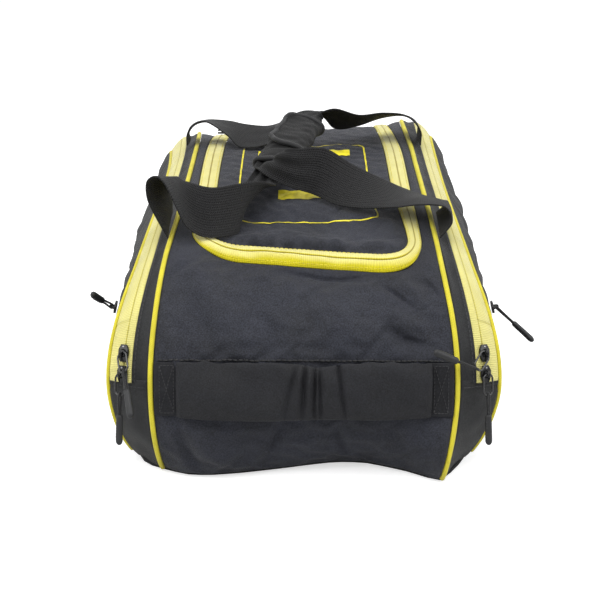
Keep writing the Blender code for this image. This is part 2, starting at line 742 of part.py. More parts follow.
def make_handles(finishes):
    """Two webbing loops, each hinged on the line of its sewn ends. The wrap belongs to the right one."""
    half_x = GATHERED_WIDTH / 2 + TOUCH
    half_z = WRAP_LAYER + WEBBING_THICKNESS + TOUCH
    outer = rounded_rectangle(half_x + WRAP_WALL, half_z + WRAP_WALL, WRAP_WALL)
    inner = rounded_rectangle(half_x, half_z, TOUCH, 1)
    wrap = plate("handle_wrap", [outer, inner], WRAP_LENGTH, finishes["wrap"])
    wrap.matrix_world = wrap_place() @ Matrix.Rotation(math.pi / 2, 4, "X")
    for side, label in SIDES:
        webbing = make_handle(f"{label}_handle_webbing", side, finishes["webbing"])
        pieces = [webbing] if side < 0 else [webbing, wrap]
        front, rear = handle_foot(side, -HANDLE_FRONT_REACH)[0], handle_foot(side, HANDLE_REAR_REACH)[0]
        joint(f"{label}_handle_swing", (front + rear) / 2, side * (rear - front), pieces)


# Sliders and pulls

def slider_mesh(finish):
    """Slider body: a shield-shaped plate with a bridge that the link passes through."""
    half, tail, end = SLIDER_WIDTH / 2, SLIDER_TAIL_WIDTH / 2, SLIDER_LENGTH / 2
    shield = [(-tail, -end), (tail, -end), (half, 0.0), (half, 0.6 * end), (tail, end), (-tail, end)]
    shield += [(-half, 0.6 * end), (-half, 0.0)]
    flat = plate("slider_plate", [shield], SLIDER_PLATE, finish)
    flat.location.z = SLIDER_CLEARANCE + SLIDER_PLATE / 2
    body = as_mesh(flat)
    sunk = SLIDER_PLATE / 2
    half_tall = (BRIDGE_HEIGHT + sunk) / 2
    outer = rounded_rectangle(BRIDGE_LENGTH / 2, half_tall, 1.5 * BRIDGE_WALL, 3)
    window_half = (BRIDGE_HEIGHT - BRIDGE_WALL + sunk / 2) / 2
    rise = half_tall - BRIDGE_WALL - window_half
    window = rounded_rectangle(BRIDGE_LENGTH / 2 - BRIDGE_WALL, window_half, BRIDGE_WALL / 2, 2)
    window = [(x, y + rise) for x, y in window]
    arch = plate("slider_bridge", [outer, window], BRIDGE_WIDTH, finish)
    stand = Matrix.Rotation(math.pi / 2, 4, "Z") @ Matrix.Rotation(math.pi / 2, 4, "X")
    arch.matrix_world = Matrix.Translation((0, 0, PLATE_TOP + BRIDGE_HEIGHT - half_tall)) @ stand
    bridge = as_mesh(arch)
    union = body.modifiers.new("bridge", "BOOLEAN")
    union.operation = "UNION"
    union.object = bridge
    bpy.context.view_layer.update()
    joined = bpy.data.meshes.new_from_object(body.evaluated_get(bpy.context.evaluated_depsgraph_get()))
    joined.transform(body.matrix_world)
    joined.name = "slider"
    for helper in (body, bridge):
        bpy.data.objects.remove(helper, do_unlink=True)
    return joined


def slider_frame(point, ahead, normal):
    """Place of a slider whose nose points ahead on a surface with this normal."""
    across = ahead.cross(normal).normalized()
    along = normal.cross(across)
    turn = Matrix((across, along, normal)).transposed().to_4x4()
    return Matrix.Translation(point) @ turn


def make_pull(label, frame, pose, linked, finishes):
    """Link and pull of a slider, in its pose.

    The link points back along the slider, swung across it and lifted off it. The pull bends from the link.
    """
    swing, lift, bend = [math.radians(angle) for angle in pose]
    flat = Vector((math.sin(swing), -math.cos(swing), 0))
    away = flat * math.cos(lift) + Vector((0, 0, math.sin(lift)))
    out = Vector((0, 0, math.cos(lift))) - flat * math.sin(lift)
    turn = Matrix((away.cross(out), away, out)).transposed().to_4x4()
    place = frame @ Matrix.Translation((0, 0, LINK_HEIGHT)) @ turn
    pieces = []
    hook, start = 0.0, BRIDGE_LENGTH
    if linked:
        half = LINK_LENGTH / 2
        ring = rounded_rectangle(LINK_WIDTH / 2, half, LINK_WIDTH / 3, 3)
        ring = [(x, y + half, 0.0) for x, y in ring]
        link = tube(f"{label}_link", ring, LINK_WIRE_RADIUS, finishes["wire"], closed=True)
        link.matrix_world = place
        pieces.append(link)
        side_step = LINK_WIRE_RADIUS + TOUCH + CORD_RADIUS * abs(math.sin(bend))
        hook, start = LINK_LENGTH, side_step / math.cos(bend)
    grip_start = start + CORD_LENGTH
    grip_end = grip_start + PULL_LENGTH
    wide = PULL_RADIUS / CORD_RADIUS
    shape = [(start, 1.0), (grip_start, 1.0), (grip_start + PULL_RADIUS / 4, 0.9 * wide)]
    shape += [(grip_start + PULL_RADIUS, wide), (grip_end - PULL_RADIUS, wide), (grip_end, 0.5 * wide)]
    points = [(math.sin(bend) * run, hook + math.cos(bend) * run, 0.0) for run, _ in shape]
    pull = tube(f"{label}_pull", points, CORD_RADIUS, finishes["rubber"], [size for _, size in shape])
    pull.matrix_world = place
    pieces.append(pull)
    axis = place.to_3x3() @ Vector((1, 0, 0))
    return joint(f"{label}_pull_lift", place.translation, axis, pieces)


def make_slider(label, frame, mesh, finishes, linked=True):
    """A slider with its pull. Both are returned for the joint that carries them."""
    slider = add_object(f"{label}_slider", mesh, finishes["metal"])
    slider.matrix_world = frame
    pull = make_pull(label, frame, PULL_POSES[label], linked, finishes)
    return [slider, pull]


def make_arch_sliders(label, side, mesh, finishes):
    """Two sliders at the lower front end of an arch zip. The upper one runs up the shoulder."""
    low = -arc_at(LOWER_SLIDER_HEIGHT)
    for level, arc in (("upper", low + SLIDER_SPACING), ("lower", low)):
        point, normal = strip_point(arc, ZIP_LINE, side)
        ahead = strip_point(arc + SMALL_STEP, ZIP_LINE, side)[0] - point
        pieces = make_slider(f"{label}_{level}", slider_frame(point, ahead, normal), mesh, finishes)
        centre, axis = point, -ahead
        if level == "upper":
            track = [strip_point(stop, ZIP_LINE, side) for stop in spread(arc, -CROWN_ARC, 2)]
            centre, axis = circle_through(*[spot + out * SLIDER_CLEARANCE for spot, out in track])
        joint(f"{label}_{level}_slider_run", centre, axis, pieces)


def make_pocket_slider(label, side, mesh, flap, finishes):
    point, normal = flap_point(POCKET_SLIDER_Y, POCKET_HEIGHT, side, TOUCH + POCKET_TAPE_THICKNESS)
    frame = slider_frame(point, Vector((0, 1, 0)), normal)
    pieces = make_slider(f"{label}_pocket", frame, mesh, finishes, linked=False)
    run = joint(f"{label}_pocket_slider_run", point, (0, 1, 0), pieces)
    run.parent = flap
    run.matrix_parent_inverse = flap.matrix_world.inverted()


def make_lid_slider(mesh, finishes):
    point, normal = band_point(LID_SLIDER_REACH, -LID_ZIP_HALF_WIDTH)
    ahead = band_point(LID_SLIDER_REACH - SMALL_STEP, -LID_ZIP_HALF_WIDTH)[0] - point
    pieces = make_slider("lid", slider_frame(point, ahead, normal), mesh, finishes)
    centre = Vector((0, 0, BODY_HEIGHT - CROWN_RADIUS))
    joint("lid_slider_run", centre, (1, 0, 0), pieces)


def main():
    clear_scene()
    finishes = {
        "panel": material("black_polyester", (0.020, 0.020, 0.024), 0.75),
        "grip": material("black_padded_polyester", (0.016, 0.016, 0.019), 0.8),
        "board": material("grey_board", (0.10, 0.10, 0.10), 0.6),
        "lining": material("grey_lining", (0.06, 0.06, 0.065), 0.8),
        "tape": material("yellow_zip_tape", (0.80, 0.70, 0.03), 0.6),
        "webbing": material("black_webbing", (0.025, 0.025, 0.027), 0.7),
        "wrap": material("black_wrap", (0.022, 0.022, 0.024), 0.8),
        "metal": material("black_painted_slider", (0.010, 0.010, 0.011), 0.35, 0.3),
        "wire": material("dark_wire", (0.08, 0.08, 0.085), 0.3, 0.9),
        "rubber": material("dark_rubber_pull", (0.035, 0.036, 0.040), 0.55),
    }
    make_base(finishes)
    front_start = LID_FRONT_REACH + LID_TAPE_AT_FRONT + SEAM
    make_end_panel("front_end_panel", -FLOOR_ARC, -front_start, finishes["panel"])
    make_end_panel("rear_end_panel", LID_REAR_REACH + SEAM, FLOOR_ARC, finishes["panel"])
    make_lid(finishes)
    mesh = slider_mesh(finishes["metal"])
    make_lid_slider(mesh, finishes)
    for side, label in SIDES:
        make_rail(f"{label}_lid_rail", side, finishes["panel"])
        make_piping(f"{label}_piping", side, finishes["tape"])
        make_partition(f"{label}_partition", side, finishes["lining"])
        tape = make_arch(label, side, finishes)
        flap = make_flap(label, side, tape, finishes)
        make_lower_side(f"{label}_lower_side", side, finishes["panel"])
        make_arch_sliders(label, side, mesh, finishes)
        make_pocket_slider(label, side, mesh, flap, finishes)
    for end, end_label in ((-1, "front"), (1, "rear")):
        make_grip(end_label, end, finishes)
    make_handles(finishes)


main()
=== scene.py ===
"""Looks of the racket tournament bag: cloth, zips, grips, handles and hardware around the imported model."""

import math

import bmesh
import bpy
import numpy as np
from mathutils import Matrix, Vector
from mathutils.bvhtree import BVHTree


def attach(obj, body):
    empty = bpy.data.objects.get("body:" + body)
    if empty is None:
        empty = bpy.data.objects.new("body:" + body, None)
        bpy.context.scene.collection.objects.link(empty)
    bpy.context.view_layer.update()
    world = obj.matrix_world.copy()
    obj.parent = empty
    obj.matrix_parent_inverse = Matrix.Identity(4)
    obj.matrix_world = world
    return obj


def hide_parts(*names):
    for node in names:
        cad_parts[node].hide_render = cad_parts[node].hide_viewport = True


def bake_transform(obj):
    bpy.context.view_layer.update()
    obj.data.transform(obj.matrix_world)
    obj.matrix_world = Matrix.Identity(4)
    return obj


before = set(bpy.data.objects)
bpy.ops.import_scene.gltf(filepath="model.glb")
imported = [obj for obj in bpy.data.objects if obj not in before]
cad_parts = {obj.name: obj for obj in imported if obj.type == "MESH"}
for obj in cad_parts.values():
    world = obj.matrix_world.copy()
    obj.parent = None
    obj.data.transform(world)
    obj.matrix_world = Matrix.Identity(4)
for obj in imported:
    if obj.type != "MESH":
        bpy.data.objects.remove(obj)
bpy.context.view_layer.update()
scene = bpy.context.scene

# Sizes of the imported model, in metres and degrees
BODY_LENGTH, BODY_HEIGHT, BODY_WIDTH = 0.620, 0.222, 0.364
WIDTH_AT_TOP, WIDTH_AT_BASE, WIDEST_HEIGHT = 0.300, 0.318, 0.095
BAND_WIDTH, BAND_WIDTH_AT_TOP, BAND_WIDTH_AT_BASE = 0.280, 0.238, 0.266
SHOULDER_RADIUS, CROWN_RISE, BASE_INSET = 0.140, 0.022, 0.022
ROLL_DEPTH, ROLL_LEAN = 0.025, 0.5
CLOTH, SEAM, TOUCH = 0.0025, 0.0006, 0.0004
PIPING_RADIUS, OUTER_PIPING_RADIUS = 0.0025, 0.0020
BASE_THICKNESS, BASE_CORNER = 0.0036, 0.030
BOARD_THICKNESS = 0.0025
PARTITION_SPACING = 0.224
GUSSET_END, ZIP_LINE, TAPE_END = 0.42, 0.59, 0.945
CLOSED_ZIP_HEIGHT, FLAP_CORNER = 0.150, 0.012
LID_FRONT_REACH, LID_REAR_REACH = 0.235, 0.253
LID_ZIP_HALF_WIDTH, LID_CORNER_RADIUS = 0.098, 0.040
LID_TAPE_AT_SIDE, LID_TAPE_AT_FRONT = 0.0095, 0.0115
LID_CLOSED_ZIP, LID_SLIDER_REACH = 0.075, 0.192
GRIP_LOW, GRIP_HEIGHT, GRIP_HALF_WIDTH = 0.061, 0.053, 0.116
GRIP_THICKNESS, GRIP_FINGER_GAP, TAB_WIDTH = 0.008, 0.013, 0.017
POCKET_HEIGHT, POCKET_TAPE_WIDTH = 0.125, 0.024
POCKET_FRONT, POCKET_REAR, POCKET_SLIDER_Y = -0.205, 0.120, -0.190
POCKET_TAPE_THICKNESS = 0.0012
WEBBING_WIDTH, WEBBING_THICKNESS = 0.050, 0.0020
HANDLE_SPACING, HANDLE_FRONT_REACH, HANDLE_REAR_REACH = 0.260, 0.175, 0.085
HANDLE_CLEARANCE = 0.0012
WRAP_LENGTH, WRAP_WALL, WRAP_LAYER, GATHERED_WIDTH = 0.115, 0.0045, 0.0014, 0.032
WRAP_MIDDLE = (-0.016, -0.022, BODY_HEIGHT + 0.0235)
WRAP_TURN, WRAP_TILT = math.radians(16), math.radians(8)
SLIDER_LENGTH, SLIDER_WIDTH, SLIDER_TAIL_WIDTH = 0.016, 0.010, 0.006
SLIDER_PLATE, SLIDER_CLEARANCE = 0.0034, 0.0010
BRIDGE_WIDTH, BRIDGE_LENGTH, BRIDGE_HEIGHT, BRIDGE_WALL = 0.0026, 0.0076, 0.0052, 0.0012
LINK_WIRE_RADIUS, LINK_WIDTH, LINK_LENGTH = 0.0008, 0.0105, 0.0190
CORD_RADIUS, CORD_LENGTH = 0.0013, 0.0170
PULL_RADIUS, PULL_LENGTH = 0.0037, 0.0280
LOWER_SLIDER_HEIGHT, SLIDER_SPACING = 0.1035, 0.0206
PULL_POSES = {
    "left_upper": (25, 11, 0),
    "left_lower": (0, 0, 0),
    "right_upper": (-42, 0, 68),
    "right_lower": (0, 0, 0),
    "left_pocket": (32, 20, 0),
    "right_pocket": (40, 33, 0),
    "lid": (0, 0, 0),
}
WRAP_STOPS = (-0.62, -0.51, 0.0, 0.51, 0.62)
# Stops of each handle: (step from its sewn end to its lower edge, direction of its width, how flat it is)
LEFT_ROUTE = (
    (
        ((-0.0050, -0.0010, 0.0160), (0.22, 0.96, 0.12), 1.00),
        ((-0.0090, -0.0020, 0.0315), (0.36, 0.93, -0.06), 1.00),
        ((-0.0080, -0.0030, 0.0390), (0.39, 0.89, -0.25), 1.00),
        ((-0.0010, -0.0035, 0.0430), (0.30, 0.91, -0.27), 1.00),
        ((0.0055, -0.0060, 0.0410), (0.19, 0.97, -0.14), 1.00),
        ((0.0120, -0.0095, 0.0280), (0.09, 0.94, 0.24), 1.00),
        ((0.0210, -0.0130, 0.0090), (0.10, 0.76, 0.62), 1.00),
        ((0.0345, -0.0160, -0.0010), (0.10, 0.58, 0.80), 1.00),
        ((0.0490, -0.0160, -0.0030), (0.07, 0.50, 0.86), 1.00),
        ((0.0720, -0.0030, -0.0020), (0.20, 0.42, 0.88), 1.00),
        ((0.0825, 0.0390, 0.0119), (0.85, 0.10, 0.45), 0.39),
        ((0.0870, 0.0630, 0.0219), (0.93, -0.20, 0.12), 0.06),
    ),
    (
        ((0.1330, -0.0250, 0.0340), (0.91, 0.41, 0.00), 0.00),
        ((0.1230, -0.0150, 0.0310), (0.44, 0.90, 0.00), 0.06),
        ((0.1120, -0.0130, 0.0241), (0.00, 1.00, 0.05), 0.28),
        ((0.0900, -0.0200, 0.0089), (0.00, 0.97, 0.22), 0.78),
        ((0.0630, -0.0165, 0.0045), (0.08, 0.95, 0.29), 1.00),
        ((0.0470, -0.0050, 0.0140), (0.03, 0.98, 0.10), 1.00),
        ((0.0320, -0.0025, 0.0198), (0.02, 0.99, -0.10), 1.00),
        ((0.0197, -0.0025, 0.0198), (0.00, 0.98, -0.21), 1.00),
        ((0.0072, -0.0015, 0.0163), (-0.02, 0.98, -0.20), 1.00),
        ((0.0000, -0.0005, 0.0082), (-0.04, 0.98, -0.15), 1.00),
    ),
)
RIGHT_ROUTE = (
    (
        ((0.0110, -0.0010, 0.0115), (0.00, 1.00, 0.10), 1.00),
        ((0.0040, 0.0030, 0.0182), (0.00, 0.97, -0.15), 1.00),
        ((-0.0180, 0.0130, 0.0210), (0.05, 0.99, -0.08), 1.00),
        ((-0.0450, 0.0250, 0.0177), (0.10, 0.97, 0.21), 1.00),
        ((-0.0850, 0.0430, 0.0109), (0.20, 0.75, 0.65), 1.00),
        ((-0.1140, 0.0590, 0.0143), (0.15, 0.32, 0.93), 0.92),
        ((-0.1380, 0.0560, 0.0215), (0.10, 0.20, 0.97), 0.45),
        ((-0.1545, 0.0600, 0.0295), (0.45, 0.00, 0.88), 0.15),
        ((-0.1635, 0.0700, 0.0349), (0.75, -0.20, 0.60), 0.06),
    ),
    (
        ((-0.1190, -0.0280, 0.0390), (0.60, -0.80, 0.00), 0.06),
        ((-0.1110, -0.0230, 0.0340), (0.00, -0.95, 0.30), 0.22),
        ((-0.0960, -0.0180, 0.0160), (0.00, -0.74, 0.67), 0.80),
        ((-0.0700, -0.0110, 0.0155), (0.00, -0.88, 0.47), 1.00),
        ((-0.0420, -0.0040, 0.0230), (0.00, -0.94, 0.34), 1.00),
        ((-0.0160, 0.0000, 0.0250), (0.00, -0.97, 0.22), 1.00),
        ((-0.0010, 0.0000, 0.0160), (0.00, -1.00, 0.08), 1.00),
    ),
)

HALF_LENGTH = BODY_LENGTH / 2
EDGE_HEIGHT = BASE_THICKNESS + TOUCH
SHOULDER_Y = HALF_LENGTH - SHOULDER_RADIUS
SHOULDER_Z = BODY_HEIGHT - CROWN_RISE - SHOULDER_RADIUS
CROWN_RADIUS = (SHOULDER_Y**2 + CROWN_RISE * (CROWN_RISE + 2 * SHOULDER_RADIUS)) / (2 * CROWN_RISE)
CROWN_ANGLE = math.asin(SHOULDER_Y / (CROWN_RADIUS - SHOULDER_RADIUS))
CROWN_ARC = CROWN_RADIUS * CROWN_ANGLE
SHOULDER_ARC = SHOULDER_RADIUS * (math.pi / 2 - CROWN_ANGLE)
FOOT_DROP = SHOULDER_Z - EDGE_HEIGHT
FOOT_RADIUS = (FOOT_DROP**2 + BASE_INSET**2) / (2 * BASE_INSET)
FLOOR_ARC = CROWN_ARC + SHOULDER_ARC + FOOT_RADIUS * math.asin(FOOT_DROP / FOOT_RADIUS)
PIPING_SEAM = PIPING_RADIUS + TOUCH
LID_CORNER_X, LID_PATH_STEP = LID_ZIP_HALF_WIDTH - LID_CORNER_RADIUS, 0.003
FLAP_INSET = ROLL_DEPTH + OUTER_PIPING_RADIUS / 2
HEM_ARC = FLOOR_ARC + 0.0030
PLATE_TOP = SLIDER_CLEARANCE + SLIDER_PLATE
LINK_HEIGHT = PLATE_TOP + (BRIDGE_HEIGHT - BRIDGE_WALL) / 2
SIDES = ((-1, "left"), (1, "right"))

# Shown cloth, and stitches as (pitch, length, thread radius)
PANEL_THICKNESS, BAND_THICKNESS, POCKET_BAND_THICKNESS, TAB_THICKNESS = 0.0014, 0.0012, 0.0010, 0.0016
LINING_THICKNESS, WRAP_THICKNESS, WRAP_ROUND, BINDING_RADIUS = 0.0010, 0.0022, 0.016, 0.0026
SEAM_STITCH, TAB_STITCH = (0.0042, 0.0030, 0.00035), (0.0034, 0.0025, 0.00035)
# The grip's seam stitches are thick, so that they also paint the shadow in the gap along the grip's top
GRIP_SEAM_AND_SHADOW_STITCH = (0.0050, 0.0046, 0.0011)
PIPING_SINK = -CLOTH / 2 + 0.0006
ARCH_TAPE_EDGE, GUSSET_EDGE = TAPE_END + 0.012, GUSSET_END - 0.004
ARCH_BAND_HEIGHT, POCKET_BAND_HEIGHT = 0.0016, 0.0014

# Shown hardware: a bridge's foot in its plate, a shield's gap over the tape, a pull's neck, tip and ridges
BRIDGE_SINK, SHIELD_GAP = 0.0006, 0.0012
PULL_NECK, PULL_TIP, RIDGE_START, RIDGE_PITCH = 0.0018, 0.0045, 0.004, 0.0026

# How the soft bag departs from its even CAD shape
# (x, how far the hem under the front stands forward of the CAD edge)
HEM = (
    (-0.200, 0.000), (-0.150, 0.000), (-0.132, 0.003), (-0.112, 0.014), (-0.090, 0.016), (-0.062, 0.012),
    (-0.032, 0.006), (0.000, 0.001), (0.030, -0.003), (0.060, -0.003), (0.093, 0.008), (0.119, 0.020),
    (0.131, 0.030), (0.150, 0.006), (0.200, 0.000),
)
HEM_BLUR = 0.006
# Where the hem's sag starts and is full (-y), how high it reaches, where it lifts (x), its tuck at the right
HEM_START, HEM_FULL, HEM_TOP = 0.20, 0.285, 0.085
HEM_LIFT, HEM_LIFT_X, HEM_LIFT_WIDTH, HEM_TUCK = 0.004, 0.035, 0.05, 0.005
# Where the rear's change starts and is full (y, then z), and how much it rises, rolls, flattens and leans
REAR_START, REAR_FULL, REAR_LOW, REAR_HIGH = 0.03, 0.20, 0.10, 0.19
REAR_RISE, REAR_ROLL, REAR_FLAT, REAR_LEAN = 0.0055, 0.0075, 0.0110, 0.0090
# The lid's front edge: how far it shifts and skews, and over which reach
LID_SHIFT, LID_SKEW, LID_SKEW_REACH = 0.006, -0.110, 0.055
# The lid's right half: how far it spreads, and where (across, then along)
LID_SPREAD, LID_SPREAD_FROM, LID_SPREAD_WIDTH = 0.012, 0.025, 0.105
LID_SPREAD_ARC, LID_SPREAD_REACH = -0.205, 0.075
# How far a moving lid or flap bends from its hinge on
LID_BEND, FLAP_BEND = 0.030, 0.017


def smoothstep(value, low, high):
    share = np.clip((value - low) / (high - low), 0, 1)
    return share * share * (3 - 2 * share)


def bell(value, width):
    return np.exp(-((value / width) ** 2))


def squarish(value, power):
    """A sine or cosine with its curve made squarer, sign kept."""
    return np.sign(value) * np.abs(value) ** power


def unit(vectors):
    return vectors / np.linalg.norm(vectors, axis=-1, keepdims=True)


def run_along(path):
    """How far along a path each of its points is."""
    return np.concatenate([[0], np.cumsum(np.linalg.norm(np.diff(path, axis=0), axis=1))])


def pair(first, second):
    """Two grids of numbers as one grid of pairs."""
    return np.stack(np.broadcast_arrays(first, second), -1)


def column(start, end, count):
    return np.linspace(start, end, count)[:, None]


def row(start, end, count):
    return np.linspace(start, end, count)[None]


def turns(count):
    """Angles evenly round a circle."""
    return np.linspace(0, 2 * math.pi, count, endpoint=False)


def hem_table():
    x = np.linspace(-0.2, 0.2, 401)
    forward = np.interp(x, *zip(*HEM))
    step = x[1] - x[0]
    reach = np.arange(-20, 21) * step
    weight = bell(reach, HEM_BLUR)
    return x, np.convolve(np.pad(forward, 20, "edge"), weight / weight.sum(), "valid")


HEM_X, HEM_FORWARD = hem_table()


def soften(points):
    """Where the soft bag really lies for these points of its even shape."""
    points = np.array(points, float)
    x, y, z = points[..., 0], points[..., 1], points[..., 2]
    low = (1 - smoothstep(z, 0.0, HEM_TOP)) * smoothstep(-y, HEM_START, HEM_FULL)
    lifted = bell(x - HEM_LIFT_X, HEM_LIFT_WIDTH)
    rear = smoothstep(y, REAR_START, REAR_FULL) * smoothstep(z, REAR_LOW, REAR_HIGH)
    moved = points.copy()
    lean, tuck = REAR_LEAN * rear * smoothstep(x, 0.05, 0.125), HEM_TUCK * low * smoothstep(x, 0.09, 0.125)
    moved[..., 0] -= lean + tuck
    moved[..., 1] -= np.interp(x, HEM_X, HEM_FORWARD) * low
    moved[..., 2] += HEM_LIFT * lifted * low + (REAR_RISE + REAR_ROLL * x / 0.12) * rear
    moved[..., 2] += REAR_FLAT * rear * smoothstep(np.abs(x), 0.105, 0.150)
    return moved


# Outline of the bag, as in the CAD

def profile(arc):
    """Point (y, z) and outward normal (y, z) this far along the skin from the crown, front negative."""
    arc = np.asarray(arc, float)
    side, run = np.where(arc < 0, -1.0, 1.0), np.abs(arc)
    zones = [run <= CROWN_ARC, run <= CROWN_ARC + SHOULDER_ARC]
    angle = np.select(
        zones,
        [run / CROWN_RADIUS, CROWN_ANGLE + (run - CROWN_ARC) / SHOULDER_RADIUS],
        math.pi / 2 + (run - CROWN_ARC - SHOULDER_ARC) / FOOT_RADIUS,
    )
    centre_y = np.select(zones, [0.0, SHOULDER_Y], HALF_LENGTH - FOOT_RADIUS)
    centre_z = np.select(zones, [BODY_HEIGHT - CROWN_RADIUS, SHOULDER_Z], SHOULDER_Z)
    radius = np.select(zones, [CROWN_RADIUS, SHOULDER_RADIUS], FOOT_RADIUS)
    out_y, out_z = np.sin(angle), np.cos(angle)
    return side * (centre_y + radius * out_y), centre_z + radius * out_z, side * out_y, out_z


def arc_at(height):
    if height < SHOULDER_Z:
        return CROWN_ARC + SHOULDER_ARC + FOOT_RADIUS * math.asin((SHOULDER_Z - height) / FOOT_RADIUS)
    return CROWN_ARC + SHOULDER_RADIUS * (math.acos((height - SHOULDER_Z) / SHOULDER_RADIUS) - CROWN_ANGLE)


def ceiling(y, depth):
    run = np.abs(y)
    crown = BODY_HEIGHT - CROWN_RADIUS + np.sqrt((CROWN_RADIUS - depth) ** 2 - run**2)
    shoulder = SHOULDER_Z + np.sqrt(np.maximum((SHOULDER_RADIUS - depth) ** 2 - (run - SHOULDER_Y) ** 2, 0))
    return np.where(run < (CROWN_RADIUS - depth) * math.sin(CROWN_ANGLE), crown, shoulder)


def underside(y, depth):
    reach = np.abs(y) - HALF_LENGTH + FOOT_RADIUS
    curve = SHOULDER_Z - np.sqrt(np.maximum((FOOT_RADIUS - depth) ** 2 - reach**2, 0.0))
    board_top = EDGE_HEIGHT + BOARD_THICKNESS + SEAM
    return np.where(reach > 0, np.maximum(curve, board_top), board_top)


def end_reach(height, depth):
    height = np.asarray(height, float)
    upper = SHOULDER_Y + np.sqrt((SHOULDER_RADIUS - depth) ** 2 - np.maximum(height - SHOULDER_Z, 0) ** 2)
    radius = FOOT_RADIUS - depth
    drop = np.minimum(np.maximum(SHOULDER_Z - height, 0), radius * FOOT_DROP / FOOT_RADIUS)
    lower = HALF_LENGTH - FOOT_RADIUS + np.sqrt(radius**2 - drop**2)
    return np.where(height >= SHOULDER_Z, upper, lower)


def half_width(height, widest, at_top, at_base):
    height = np.asarray(height, float)
    above = height > WIDEST_HEIGHT
    rise = (height - WIDEST_HEIGHT) / (BODY_HEIGHT - WIDEST_HEIGHT)
    share = np.where(above, rise, 1 - height / WIDEST_HEIGHT)
    end = np.where(above, at_top, at_base)
    return (widest - (widest - end) * share**2) / 2


def band_half(height):
    return half_width(height, BAND_WIDTH, BAND_WIDTH_AT_TOP, BAND_WIDTH_AT_BASE)


def body_half(height):
    return half_width(height, BODY_WIDTH, WIDTH_AT_TOP, WIDTH_AT_BASE)


def flap_half(height):
    rise = BODY_HEIGHT - WIDEST_HEIGHT
    above = np.maximum(height - WIDEST_HEIGHT, 0) * rise / (rise - ROLL_DEPTH)
    return body_half(np.where(height > WIDEST_HEIGHT, WIDEST_HEIGHT + above, height))


def skin(arc, x, lift=0.0):
    """Points on the centre band. The lid's front edge sits askew, so places near it shift along the skin."""
    arc, x, lift = np.broadcast_arrays(np.asarray(arc, float), x, lift)
    near_edge = bell(arc + LID_FRONT_REACH, LID_SKEW_REACH)
    y, z, out_y, out_z = profile(arc + near_edge * (LID_SHIFT + LID_SKEW * x))
    spread = np.sin(math.pi * np.clip((x - LID_SPREAD_FROM) / LID_SPREAD_WIDTH, 0, 1)) ** 2
    x = x + LID_SPREAD * spread * bell(arc - LID_SPREAD_ARC, LID_SPREAD_REACH)
    return soften(np.stack([x, y + out_y * lift, z + out_z * lift], -1))


def strip(arc, share, side, lift=0.0):
    """Points on the arch strip that leans from the centre band over to the side panel."""
    arc, share, lift = np.broadcast_arrays(np.asarray(arc, float), share, lift)
    y, z, out_y, out_z = profile(arc)
    width = body_half(z) - band_half(z)
    inset = ROLL_DEPTH * (ROLL_LEAN * share + (1 - ROLL_LEAN) * share**2)
    fall = ROLL_DEPTH * (ROLL_LEAN + 2 * (1 - ROLL_LEAN) * share)
    normal = unit(np.stack([side * fall, out_y * width, out_z * width], -1))
    in_y = np.where(out_z < 0, np.sign(out_y), out_y)
    in_z = np.maximum(out_z, 0)
    points = np.stack([side * (band_half(z) + width * share), y - in_y * inset, z - in_z * inset], -1)
    return soften(points + normal * lift[..., None])


def strip_outward(arc, share, side):
    return strip(arc, share, side, 0.02) - strip(arc, share, side)


def piping_share(arc):
    z = profile(arc)[1]
    return PIPING_SEAM / (body_half(z) - band_half(z))


def flap(y, z, side, lift=0.0):
    y, z, lift = np.broadcast_arrays(np.asarray(y, float), z, lift)
    slope = (flap_half(z + 0.001) - flap_half(z - 0.001)) / 0.002
    normal = unit(np.stack([np.full_like(y, side), np.zeros_like(y), -slope], -1))
    return soften(np.stack([side * flap_half(z), y, z], -1) + normal * lift[..., None])


# Folds and creases

WAVE_COUNT = 7


def waves(u, v, size, seed):
    """Soft random undulation of about this size, mostly between -1 and 1."""
    draw = np.random.default_rng(seed)
    total = 0.0
    for _ in range(WAVE_COUNT):
        turn, phase = draw.uniform(0, 2 * math.pi, 2)
        pitch = 2 * math.pi / (size * draw.uniform(0.7, 1.6))
        total = total + np.sin((u * math.cos(turn) + v * math.sin(turn)) * pitch + phase)
    return total / (1.4 * WAVE_COUNT**0.5)


def fold(u, v, line, width, height):
    """A crease along a line of (u, v) points that fades out at its ends."""
    line = np.asarray(line, float)
    starts = run_along(line)
    steps = np.linalg.norm(np.diff(line, axis=0), axis=1)
    nearest, share = np.full(np.shape(u), np.inf), np.zeros(np.shape(u))
    for i, step in enumerate(steps):
        du, dv = (line[i + 1] - line[i]) / step
        along = np.clip((u - line[i, 0]) * du + (v - line[i, 1]) * dv, 0, step)
        gap = (u - line[i, 0] - du * along) ** 2 + (v - line[i, 1] - dv * along) ** 2
        closer = gap < nearest
        nearest = np.where(closer, gap, nearest)
        share = np.where(closer, (starts[i] + along) / starts[-1], share)
    return height * np.exp(-nearest / width**2) * np.sin(math.pi * np.clip(share, 0.02, 0.98)) ** 0.7


def folds(u, v, table):
    return sum(fold(u, v, line, width, height) for line, width, height in table)


def rippled(relief, u, v, *ripples):
    """Adds undulations, each given as (height, size, seed)."""
    for height, size, seed in ripples:
        relief = relief + height * waves(u, v, size, seed)
    return relief


# Meshes

def add_object(name, data, *finishes):
    made = bpy.data.objects.new(name, data)
    scene.collection.objects.link(made)
    for finish in finishes:
        data.materials.append(finish)
    return made


def corner_spots(mesh):
    """Vertex at each face corner of a mesh."""
    spots = np.empty(len(mesh.loops), np.int32)
    mesh.loops.foreach_get("vertex_index", spots)
    return spots


def set_uv(mesh, uv):
    layer = mesh.uv_layers.new(name="UVMap")
    layer.data.foreach_set("uv", np.asarray(uv, np.float32).reshape(-1, 2)[corner_spots(mesh)].ravel())


